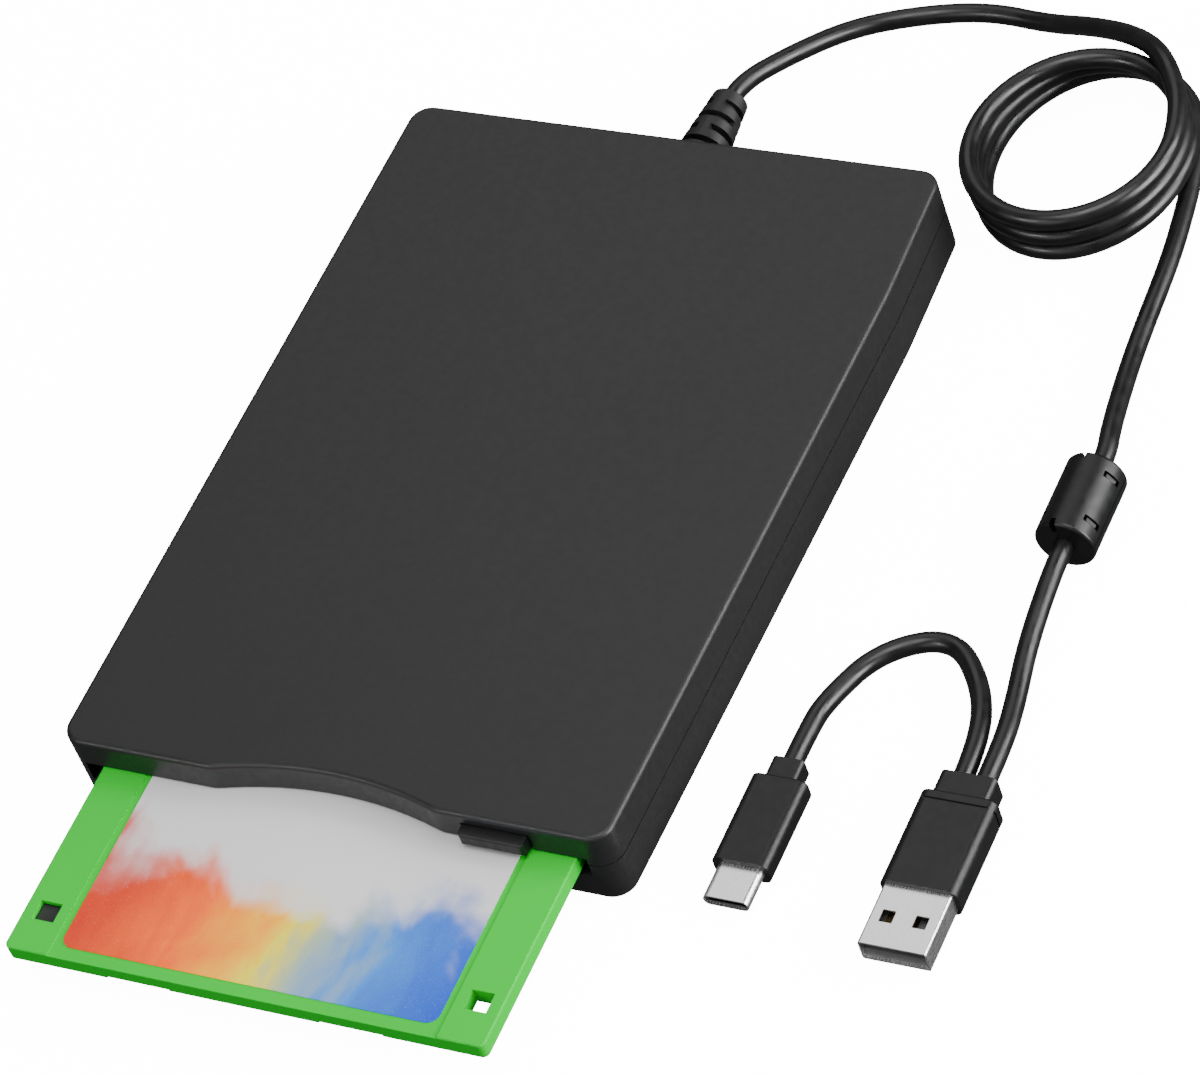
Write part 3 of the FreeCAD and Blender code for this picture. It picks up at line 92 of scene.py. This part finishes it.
class Graph:
    """Shader nodes of one material, added and linked by short calls."""

    def __init__(self, name: str) -> None:
        """Start a material with its principled shader and Object coordinates."""
        self.material = bpy.data.materials.new(name)
        self.material.use_nodes = True
        self.tree = self.material.node_tree
        self.shader = self.tree.nodes["Principled BSDF"]
        self.place = self.add("ShaderNodeTexCoord").outputs["Object"]

    def add(self, kind: str, **settings: object) -> bpy.types.Node:
        """Add one node.

        Args:
            kind: Blender's type name of the node.
            settings: properties of the node.

        Returns:
            The node.
        """
        node = self.tree.nodes.new(kind)
        for key, value in settings.items():
            setattr(node, key, value)
        return node

    def feed(self, node: bpy.types.Node, **values: object) -> bpy.types.Node:
        """Set or link a node's inputs.

        Args:
            node: the node that is fed.
            values: input names with _ for a space, each with a plain value or an output socket.

        Returns:
            The same node.
        """
        for key, value in values.items():
            socket = node.inputs[key.replace("_", " ")]
            if isinstance(value, bpy.types.NodeSocket):
                self.tree.links.new(value, socket)
            else:
                socket.default_value = value
        return node

    def moved(self, centre: Point = (0, 0, 0), scale: Point = (1, 1, 1),
              turn: float = 0.0) -> bpy.types.NodeSocket:
        """Object coordinates measured from a centre, turned about Z and stretched.

        Args:
            centre: point that becomes the pattern's middle.
            scale: factor along each axis.
            turn: turn about Z in radians.

        Returns:
            The vector socket.
        """
        shift = self.feed(self.add("ShaderNodeMapping"), Vector=self.place,
                          Location=[-c for c in centre])
        node = self.feed(self.add("ShaderNodeMapping"), Vector=shift.outputs[0], Scale=scale,
                         Rotation=(0, 0, turn))
        return node.outputs[0]

    def noise(self, scale: float, detail: float = 3.0,
              vector: bpy.types.NodeSocket | None = None,
              distortion: float = 0.0) -> bpy.types.NodeSocket:
        """Noise value.

        Args:
            scale: bumps per metre.
            detail: octaves.
            vector: coordinates, the plain Object ones if left out.
            distortion: how far the pattern is pulled about.

        Returns:
            The value socket.
        """
        node = self.feed(self.add("ShaderNodeTexNoise"), Vector=vector or self.place,
                         Scale=scale, Detail=detail, Distortion=distortion)
        return node.outputs["Fac"]

    def ramp(self, value: bpy.types.NodeSocket,
             stops: list[tuple[float, Color]]) -> bpy.types.NodeSocket:
        """Colour ramp.

        Args:
            value: what is looked up.
            stops: positions with their colours, in order.

        Returns:
            The colour socket.
        """
        node = self.feed(self.add("ShaderNodeValToRGB"), Fac=value)
        elements = node.color_ramp.elements
        elements[0].position, elements[0].color = stops[0][0], (*stops[0][1], 1)
        elements[1].position, elements[1].color = stops[-1][0], (*stops[-1][1], 1)
        for position, color in stops[1:-1]:
            elements.new(position).color = (*color, 1)
        return node.outputs["Color"]

    def span(self, value: bpy.types.NodeSocket, low: float, high: float,
             to_low: float = 0.0, to_high: float = 1.0) -> bpy.types.NodeSocket:
        """Value moved from one range to another, held at its ends."""
        node = self.add("ShaderNodeMapRange", interpolation_type="SMOOTHSTEP")
        self.feed(node, Value=value, From_Min=low, From_Max=high, To_Min=to_low, To_Max=to_high)
        return node.outputs["Result"]

    def math(self, operation: str, a: object, b: object) -> bpy.types.NodeSocket:
        """Result of one sum on two values or sockets."""
        node = self.add("ShaderNodeMath", operation=operation)
        for socket, value in zip(node.inputs, (a, b)):
            if isinstance(value, bpy.types.NodeSocket):
                self.tree.links.new(value, socket)
            else:
                socket.default_value = value
        return node.outputs[0]

    def mix(self, factor: object, a: object, b: object) -> bpy.types.NodeSocket:
        """Colour between a and b."""
        node = self.add("ShaderNodeMixRGB")
        for socket, value in zip(node.inputs, (factor, a, b)):
            if isinstance(value, bpy.types.NodeSocket):
                self.tree.links.new(value, socket)
            else:
                socket.default_value = (*value, 1) if isinstance(value, tuple) else value
        return node.outputs[0]

    def bump(self, height: bpy.types.NodeSocket, depth: float) -> None:
        """Raise the surface by a height pattern of the given depth in metres."""
        node = self.feed(self.add("ShaderNodeBump"), Height=height, Distance=depth, Strength=1.0)
        self.feed(self.shader, Normal=node.outputs[0])


@dataclass(frozen=True)
class Finish:
    """One surface: its colour, gloss and the scale of its grain."""

    name: str
    color: Color
    roughness: float
    grain: Grain = Grain.MOULDED
    grain_size: float = 0.35 * MM
    depth: float = 0.006 * MM
    metallic: float = 0.0
    specular: float = 0.5
    mottle: float = 0.12
    along: Point = (1, 1, 1)
    centre: Point = (0, 0, 0)
    accent: Color = (0.6, 0.45, 0.2)

    def shade(self, factor: float) -> Color:
        """The finish's colour made lighter or darker."""
        return tuple(min(1.0, channel * factor) for channel in self.color)

    def build(self) -> bpy.types.Material:
        """Make the material.

        Returns:
            The material, with its colour, roughness and bump from nodes.
        """
        graph = Graph(self.name)
        graph.feed(graph.shader, Metallic=self.metallic, Specular_IOR_Level=self.specular)
        makers: dict[Grain, Callable[[Graph], None]] = {
            Grain.MOULDED: self.moulded, Grain.BRUSHED: self.brushed, Grain.TURNED: self.turned,
            Grain.JACKET: self.jacket, Grain.TRACKS: self.tracks, Grain.PAPER: self.paper,
            Grain.FELT: self.felt, Grain.FILM: self.film,
        }
        makers[self.grain](graph)
        return graph.material

    def tint(self, graph: Graph, value: bpy.types.NodeSocket) -> bpy.types.NodeSocket:
        """Colour that varies a little round the finish's own."""
        return graph.ramp(value, [(NOISE_LOW, self.shade(1 - self.mottle)),
                                  (NOISE_HIGH, self.shade(1 + self.mottle))])

    def moulded(self, graph: Graph) -> None:
        """Spark-eroded plastic: fine pits, broad mottling and slightly uneven gloss."""
        fine = graph.noise(1 / self.grain_size, 4)
        broad = graph.noise(MOULD_MOTTLE, 2)
        patches = graph.noise(1 / (self.grain_size * 6), 2)
        rough = graph.span(patches, NOISE_LOW, NOISE_HIGH, self.roughness - 0.04,
                           self.roughness + 0.05)
        graph.feed(graph.shader, Base_Color=self.tint(graph, broad), Roughness=rough)
        graph.bump(fine, self.depth)

    def brushed(self, graph: Graph) -> None:
        """Rolled or brushed metal: long fine streaks."""
        streaks = graph.noise(1 / self.grain_size, 3, graph.moved(scale=self.along))
        rough = graph.span(streaks, 0.25, 0.75, self.roughness - 0.06, self.roughness + 0.08)
        graph.feed(graph.shader, Base_Color=self.tint(graph, streaks), Roughness=rough)
        graph.bump(streaks, self.depth)

    def turned(self, graph: Graph) -> None:
        """Lathe marks round the piece's own middle."""
        rings = graph.add("ShaderNodeTexWave", wave_type="RINGS", rings_direction="Z")
        graph.feed(rings, Vector=graph.moved(self.centre), Scale=1 / self.grain_size / 6,
                   Distortion=0.6, Detail=2.0)
        marks = rings.outputs["Fac"]
        rough = graph.span(marks, 0, 1, self.roughness - 0.05, self.roughness + 0.05)
        graph.feed(graph.shader, Base_Color=self.tint(graph, marks), Roughness=rough)
        graph.bump(marks, self.depth)

    def jacket(self, graph: Graph) -> None:
        """Soft cord jacket: a faint extrusion ripple and dull patches."""
        fine = graph.noise(1 / self.grain_size, 3)
        ripple = graph.noise(JACKET_RIPPLE, 1)
        rough = graph.span(ripple, NOISE_LOW, NOISE_HIGH, self.roughness - 0.06,
                           self.roughness + 0.06)
        graph.feed(graph.shader, Base_Color=self.tint(graph, ripple), Roughness=rough)
        graph.bump(graph.math("ADD", fine, ripple), self.depth)

    def tracks(self, graph: Graph) -> None:
        """Circuit board: solder mask with raised copper tracks and pads."""
        bricks = graph.add("ShaderNodeTexBrick", offset=0.37, squash=1.8, squash_frequency=3)
        graph.feed(bricks, Vector=graph.moved(), Scale=BOARD_TRACKS, Mortar_Size=0.11,
                   Mortar_Smooth=0.2, Brick_Width=1.6, Row_Height=0.42,
                   Color1=(*self.shade(1.0), 1), Color2=(*self.shade(1.25), 1),
                   Mortar=(*self.shade(0.6), 1))
        pads = graph.add("ShaderNodeTexVoronoi", feature="F1")
        graph.feed(pads, Vector=graph.place, Scale=BOARD_PADS, Randomness=0.35)
        dots = graph.span(pads.outputs["Distance"], 0.16, 0.2, 1, 0)
        graph.feed(graph.shader, Base_Color=graph.mix(dots, bricks.outputs["Color"], self.accent),
                   Roughness=graph.span(dots, 0, 1, self.roughness, self.roughness - 0.1))
        graph.bump(graph.math("ADD", bricks.outputs["Fac"], dots), self.depth)

    def paper(self, graph: Graph) -> None:
        """Label with soft washes of colour that pool along its front and fade to bare paper."""
        vector = graph.moved(self.centre)
        split = graph.feed(graph.add("ShaderNodeSeparateXYZ"), Vector=vector)
        drift = graph.noise(WASH_SCALE, 4, vector, 0.8)
        ragged = graph.noise(RAGGED_SCALE, 5, graph.moved(self.centre, (1, 0.35, 1), 0.5), 1.4)
        wander = graph.math("ADD", graph.math("MULTIPLY", drift, WASH_DRIFT),
                            graph.math("MULTIPLY", ragged, WASH_RAGGED))
        lean = graph.math("MULTIPLY", split.outputs["Y"], WASH_LEAN)
        across = graph.math("ADD", graph.math("ADD", split.outputs["X"], lean), wander)
        hue = graph.ramp(graph.span(across, *WASH_ACROSS), WASH_HUES)
        pool = graph.math("MULTIPLY", graph.noise(POOL_SCALE, 3, vector, 0.5), WASH_POOL)
        pools = graph.math("ADD", pool, split.outputs["Y"])
        edge = graph.math("ADD", pools, graph.math("MULTIPLY", ragged, WASH_FRAY))
        cover = graph.span(edge, *WASH_EDGE, 1, 0)
        bare = graph.ramp(graph.noise(PAPER_SCALE, 2), [(NOISE_LOW, self.shade(0.95)),
                                                        (NOISE_HIGH, self.shade(1.05))])
        color = graph.mix(cover, bare, hue)
        fleck = graph.noise(1 / self.grain_size, 4)
        color = graph.mix(graph.span(fleck, 0.55, 0.8, 0, 0.12), color, FIBRE_GREY)
        rough = graph.span(fleck, NOISE_LOW, NOISE_HIGH, self.roughness - 0.05,
                           self.roughness + 0.07)
        graph.feed(graph.shader, Base_Color=color, Roughness=rough)
        graph.bump(fleck, self.depth)

    def felt(self, graph: Graph) -> None:
        """Non-woven liner: short tangled fibres."""
        fibres = graph.noise(1 / self.grain_size, 6, None, 2.5)
        graph.feed(graph.shader, Base_Color=self.tint(graph, fibres), Roughness=self.roughness)
        graph.bump(fibres, self.depth)

    def film(self, graph: Graph) -> None:
        """Coated film with very faint tracks round its hub."""
        self.turned(graph)


@dataclass(frozen=True)
class Palette:
    """Finishes of the whole drive, by the record's material slots."""

    hub: Point = (0, -64.2 * MM, 0)
    spindle: Point = (0, -24.2 * MM, 0)
    label_front: Point = (0, -109.8 * MM, 0)

    def finishes(self) -> dict[str, Finish]:
        """Finish of each material slot.

        Returns:
            The finishes by slot name.
        """
        return {
            "case_plastic": Finish("case_plastic", (0.01, 0.01, 0.0105), 0.44,
                grain_size=0.22 * MM, depth=0.001 * MM, mottle=0.04, specular=0.4),
            "button_plastic": Finish("button_plastic", (0.001, 0.001, 0.001), 0.5,
                grain_size=0.2 * MM, depth=0.001 * MM, mottle=0.04, specular=0.4),
            "foot_rubber": Finish("foot_rubber", (0.006, 0.006, 0.006), 0.5, grain_size=0.3 * MM,
                depth=0.008 * MM),
            "screw_steel": Finish("screw_steel", (0.1, 0.1, 0.105), 0.35, Grain.BRUSHED, 0.2 * MM,
                0.003 * MM, 1.0),
            "sheet_steel": Finish("sheet_steel", (0.5, 0.51, 0.52), 0.33, Grain.BRUSHED, 0.5 * MM,
                0.003 * MM, 1.0, along=(1, 0.08, 1)),
            "spring_steel": Finish("spring_steel", (0.5, 0.5, 0.5), 0.25, Grain.BRUSHED, 0.1 * MM,
                0.001 * MM, 1.0),
            "turned_steel": Finish("turned_steel", (0.55, 0.55, 0.56), 0.28, Grain.TURNED,
                0.25 * MM, 0.002 * MM, 1.0, centre=self.spindle),
            "board": Finish("board", (0.012, 0.09, 0.04), 0.42, Grain.TRACKS, 0.3 * MM,
                0.03 * MM),
            "black_parts": Finish("black_parts", (0.012, 0.012, 0.013), 0.5, grain_size=0.15 * MM,
                depth=0.008 * MM),
            "pale_parts": Finish("pale_parts", (0.6, 0.57, 0.5), 0.5, grain_size=0.25 * MM),
            "winding": Finish("winding", (0.5, 0.17, 0.06), 0.32, Grain.BRUSHED, 0.12 * MM,
                0.02 * MM, 0.9),
            "bearing_bronze": Finish("bearing_bronze", (0.5, 0.33, 0.13), 0.4, Grain.TURNED,
                0.2 * MM, 0.003 * MM, 1.0, centre=self.spindle),
            "cast_alloy": Finish("cast_alloy", (0.5, 0.5, 0.5), 0.42, grain_size=0.3 * MM,
                depth=0.012 * MM, metallic=1.0),
            "head_ceramic": Finish("head_ceramic", (0.14, 0.13, 0.12), 0.15, grain_size=0.2 * MM,
                depth=0.001 * MM),
            "disk_plastic": Finish("disk_plastic", (0.0, 0.46, 0.02), 0.45, grain_size=0.25 * MM,
                depth=0.001 * MM, mottle=0.04, specular=0.15),
            "tab_plastic": Finish("tab_plastic", (0.01, 0.01, 0.01), 0.5, grain_size=0.2 * MM),
            "shutter_metal": Finish("shutter_metal", (0.6, 0.6, 0.61), 0.3, Grain.BRUSHED,
                0.35 * MM, 0.003 * MM, 1.0, along=(0.06, 1, 1)),
            "media_film": Finish("media_film", (0.02, 0.012, 0.01), 0.14, Grain.FILM, 0.2 * MM,
                0.0005 * MM, centre=self.hub),
            "liner_fabric": Finish("liner_fabric", (0.7, 0.7, 0.68), 0.9, Grain.FELT, 0.25 * MM,
                0.05 * MM),
            "label_paper": Finish("label_paper", (0.6, 0.595, 0.6), 0.38, Grain.PAPER, 0.3 * MM,
                0.012 * MM, centre=self.label_front),
            "cord_jacket": Finish("cord_jacket", (0.005, 0.005, 0.0055), 0.33, Grain.JACKET,
                0.25 * MM, 0.004 * MM, specular=0.45),
            "plug_plastic": Finish("plug_plastic", (0.003, 0.003, 0.0033), 0.38,
                grain_size=0.25 * MM, depth=0.003 * MM, specular=0.4),
            "ferrite": Finish("ferrite", (0.02, 0.02, 0.022), 0.55, grain_size=0.3 * MM,
                depth=0.02 * MM, specular=0.3),
            "plug_metal": Finish("plug_metal", (0.9, 0.9, 0.91), 0.28, Grain.BRUSHED, 0.18 * MM,
                0.0002 * MM, 1.0, along=(1, 0.15, 1), mottle=0.02),
            # Painted shade: the tongue is coloured dark grey to stand in for the shade inside the
            # plug's shell that shows through its holes; the real tongue is pale.
            "tongue_plastic": Finish("tongue_plastic", (0.08, 0.08, 0.08), 0.45,
                grain_size=0.2 * MM),
            "contact_gold": Finish("contact_gold", (0.4, 0.26, 0.09), 0.3, Grain.BRUSHED,
                0.1 * MM, 0.001 * MM, 1.0),
        }


class Workshop:
    """Materials by slot, and the calls that put each new piece in the scene on its body."""

    def __init__(self) -> None:
        """Build every finish once."""
        self.materials = {slot: finish.build() for slot, finish in Palette().finishes().items()}

    def dress_nodes(self) -> None:
        """Give each solid of the frame the finish of its material slot."""
        for part in frame["record"]["subparts"]:
            solid = frame["nodes"][part["node"]]
            material = self.materials[part["material_slot"]]
            if not solid.material_slots:
                solid.data.materials.append(material)
            for place in solid.material_slots:
                place.material = material
            LOG.info("dressed %s with %s", part["node"], part["material_slot"])

    def piece(self, name: str, data: bpy.types.ID, slot: str, body: str) -> bpy.types.Object:
        """Put a new piece in the scene on its body.

        Args:
            name: the piece's name.
            data: its mesh or curve.
            slot: material slot whose finish it takes.
            body: body that it moves with.

        Returns:
            The object.
        """
        obj = bpy.data.objects.new(name, data)
        bpy.context.scene.collection.objects.link(obj)
        data.materials.append(self.materials[slot])
        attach(obj, body)
        LOG.info("made %s on %s", name, body)
        return obj


@dataclass
class Coil:
    """Three loops of the cord that climb and lean to the front, as the storage coil lies."""

    centre: tuple[float, float] = (70.9, 93.1)
    radii: tuple[float, float] = (18.1, 23.1)
    growth: tuple[float, float] = (0.14, -1.23)
    drift: tuple[float, float] = (0.03, -1.57)
    step: float = 4.15
    cord_radius: float = 1.8
    start: float = 0.04
    end: float = 3.06
    points_per_turn: int = 16
    slack: float = 1.019

    def spot(self, turns: float) -> Point:
        """Point after so many turns up from the floor, a little outside the spline's line."""
        angle = 2 * math.pi * turns
        turn = (math.cos(angle), math.sin(angle))
        x, y = (self.centre[i] + self.drift[i] * turns
                + self.slack * (self.radii[i] + self.growth[i] * turns) * turn[i] for i in (0, 1))
        return x, y, self.cord_radius + self.step * (turns - self.start)

    def points(self) -> list[Point]:
        """Control points from the top loop down to the floor."""
        count = round((self.end - self.start) * self.points_per_turn)
        return [self.spot(self.end - (self.end - self.start) * k / count)
                for k in range(count + 1)]


@dataclass
class Cords:
    """The lead from the strain relief to the larger plug, and the branch to the smaller one."""

    workshop: Workshop
    thickness: float = 3.6 * MM
    steps_along: int = 10
    steps_round: int = 7
    coil: Coil = field(default_factory=Coil)

    def line(self, name: str, points: list[Point]) -> bpy.types.Curve:
        """Smooth round cord on route points in millimetres.

        Args:
            name: name of the curve.
            points: control points in order.

        Returns:
            The curve.
        """
        curve = bpy.data.curves.new(name, "CURVE")
        curve.dimensions = "3D"
        curve.resolution_u = self.steps_along
        curve.bevel_depth = self.thickness / 2
        curve.bevel_resolution = self.steps_round
        curve.use_fill_caps = True
        spline = curve.splines.new("NURBS")
        spline.points.add(len(points) - 1)
        for control, point in zip(spline.points, points):
            control.co = (*(Vector(point) * MM), 1)
        spline.order_u = 3
        spline.use_endpoint_u = True
        return curve

    def main_route(self) -> list[Point]:
        """Route of the lead: to the floor, round, through coil and ferrite, and on to the plug."""
        coil = self.coil.points()
        inward = [(3, 90.35, 9.3), (3, 94.85, 9.3), (8.4, 104.9, 7.2), (15.5, 115.8, 4.2),
                  (26, 123, 1.9), (38.5, 125.9, 1.8), (51, 124.2, 2.2), (62, 120.5, 7),
                  (72.2, 115.8, 11.3), (80.3, 109.6, 14.7), (85.9, 102, 14.5)]
        outward = [(90.8, 87, 1.8), (92.5, 74.5, 1.8), (93.3, 58, 1.8), (94.4, 47, 2.4),
                   (97.2, 33, 5), (98.6, 27.6, 5.4), (98.6, 20, 5.4), (98.6, 9, 5.4),
                   (98.6, 1, 5.4), (98.9, -12.5, 3.2), (100.9, -24, 2.4), (102.3, -33, 3.2),
                   (102.3, -42, 3.2)]
        return inward + coil + outward

    def branch_route(self) -> list[Point]:
        """Route of the branch, in a hoop to the smaller plug."""
        return [(98.3, -42, 3.2), (98.3, -33.5, 3.2), (94.6, -22.3, 2.2), (85.6, -12.2, 1.8),
                (74, -17.8, 1.8), (69, -30, 2), (68.7, -36.7, 2.4), (68.7, -43.8, 2.4)]

    def build(self) -> None:
        lead = self.workshop.piece("usb_lead", self.line("usb_lead", self.main_route()),
                                   "cord_jacket", "case")
        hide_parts("cord_in", "cord_coil", "cord_out", "cord_middle", "cord_tail")
        branch = self.workshop.piece("usb_branch", self.line("usb_branch", self.branch_route()),
                                     "cord_jacket", "case")
        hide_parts("cord_branch")


@dataclass
class FerriteLatches:
    """Two snap nubs that show in the windows of the ferrite's housing."""

    workshop: Workshop
    axis: tuple[float, float] = (98.6, 5.4)
    reach: float = 4.75
    turn: float = 55.0
    along: tuple[float, float] = (10.2, 19.8)
    size: Point = (2.3, 0.85, 0.9)
    edge: float = 0.18

    def nub(self, y: float) -> bpy.types.Mesh:
        """Rounded nub across the housing.

        Args:
            y: its middle along the cord.

        Returns:
            The mesh.
        """
        shape = bmesh.new()
        bmesh.ops.create_cube(shape, size=1.0)
        bmesh.ops.scale(shape, verts=shape.verts, vec=Vector(self.size) * MM)
        bmesh.ops.bevel(shape, geom=shape.edges[:], affect="EDGES", offset=self.edge * MM,
                        segments=3, profile=0.5, material=-1)
        bmesh.ops.translate(shape, verts=shape.verts, vec=(0, 0, self.reach * MM))
        turn = Matrix.Rotation(math.radians(self.turn), 3, "Y")
        bmesh.ops.rotate(shape, verts=shape.verts, cent=(0, 0, 0), matrix=turn)
        middle = Vector((self.axis[0], y, self.axis[1])) * MM
        bmesh.ops.translate(shape, verts=shape.verts, vec=middle)
        mesh = bpy.data.meshes.new("ferrite_latch")
        shape.to_mesh(mesh)
        shape.free()
        return mesh

    def build(self) -> None:
        """Make both nubs."""
        for side, y in zip(("front", "back"), self.along):
            self.workshop.piece("ferrite_latch_" + side, self.nub(y), "plug_plastic", "case")


@dataclass
class Studio:
    """Pale floor, soft lights and the photograph's camera."""

    floor_size: float = 6.0
    floor_drop: float = 0.05 * MM
    floor_glow: float = 14.0
    surround: float = 0.13
    focal_px: float = 5746.85
    image_width: int = 1200
    sensor: float = 36.0
    camera_at: Point = (0.44977, -0.52062, 0.71341)
    right: Point = (0.884778, 0.388376, -0.257552)
    down: Point = (0.146278, -0.756194, -0.637788)
    forward: Point = (-0.44246, 0.526626, -0.725874)

    def floor(self) -> None:
        """Large pale floor just under the feet."""
        shape = bmesh.new()
        bmesh.ops.create_grid(shape, x_segments=8, y_segments=8, size=self.floor_size / 2)
        bmesh.ops.translate(shape, verts=shape.verts, vec=(0, 0, -self.floor_drop))
        mesh = bpy.data.meshes.new("studio_floor")
        shape.to_mesh(mesh)
        shape.free()
        graph = Graph("studio_floor")
        pale = graph.ramp(graph.noise(3, 2), [(NOISE_LOW, (0.88, 0.88, 0.88)),
                                              (NOISE_HIGH, (0.9, 0.9, 0.9))])
        graph.feed(graph.shader, Base_Color=pale, Roughness=0.9, Specular_IOR_Level=0.1,
                   Emission_Color=(1, 1, 1, 1), Emission_Strength=self.floor_glow)
        mesh.materials.append(graph.material)
        obj = bpy.data.objects.new("studio_floor", mesh)
        obj.visible_glossy = obj.visible_diffuse = False
        bpy.context.scene.collection.objects.link(obj)

    def world(self) -> None:
        """Even white surround."""
        world = bpy.data.worlds.new("studio")
        world.use_nodes = True
        sockets = world.node_tree.nodes["Background"].inputs
        sockets["Color"].default_value = (1, 1, 1, 1)
        sockets["Strength"].default_value = self.surround
        bpy.context.scene.world = world

    def softbox(self, name: str, place: Point, target: Point, size: float, power: float,
                height: float = 0.0) -> None:
        """Area light aimed at a point.

        Args:
            name: name of the light.
            place: where it hangs.
            target: point that it faces.
            size: length of its side.
            power: watts.
            height: its other side, the same as the first if left out.
        """
        light = bpy.data.lights.new(name, "AREA")
        light.shape = "RECTANGLE"
        light.size, light.size_y, light.energy = size, height or size, power
        obj = bpy.data.objects.new(name, light)
        obj.location = place
        obj.rotation_mode = "QUATERNION"
        aim = Vector(target) - Vector(place)
        obj.rotation_quaternion = aim.to_track_quat("-Z", "Y")
        bpy.context.scene.collection.objects.link(obj)

    def camera(self) -> None:
        """Camera fitted to the straight edges of the case."""
        data = bpy.data.cameras.new("photo_camera")
        data.sensor_fit, data.sensor_width = "HORIZONTAL", self.sensor
        data.lens = self.focal_px * self.sensor / self.image_width
        data.clip_start, data.clip_end = 0.01, 50
        obj = bpy.data.objects.new("photo_camera", data)
        axes = (Vector(self.right), -Vector(self.down), -Vector(self.forward))
        turn = Matrix(axes).transposed().to_4x4()
        obj.matrix_world = Matrix.Translation(self.camera_at) @ turn
        bpy.context.scene.collection.objects.link(obj)
        bpy.context.scene.camera = obj

    def build(self) -> None:
        """Make the whole studio."""
        self.camera()
        self.floor()
        self.world()
        self.softbox("key_light", (0.3, -0.3, 1.8), (0, 0, 0), 1.2, 27)
        self.softbox("gloss_light", (-0.55, 1.2, 1.65), (0, 0, 0), 1.4, 8)
        self.softbox("side_light", (1.5, 0.1, 0.45), (0.05, 0, 0), 1.0, 52)
        self.softbox("front_light", (-0.1, -1.6, 0.6), (0, 0, 0), 1.0, 5)
        self.softbox("edge_light", (1.17, 0.85, 0.7), (0.05, 0, 0), 0.2, 16, 1.2)
        self.softbox("lip_light", (-0.66, -1.1, 0.8), (0, -0.08, 0), 0.5, 7, 0.15)


def main() -> None:
    """Build the studio, the cords and the finishes in order."""
    logging.basicConfig(level=logging.INFO, format="%(message)s")
    workshop = Workshop()
    Studio().build()
    Cords(workshop).build()
    FerriteLatches(workshop).build()
    workshop.dress_nodes()


if __name__ == "__main__":
    main()
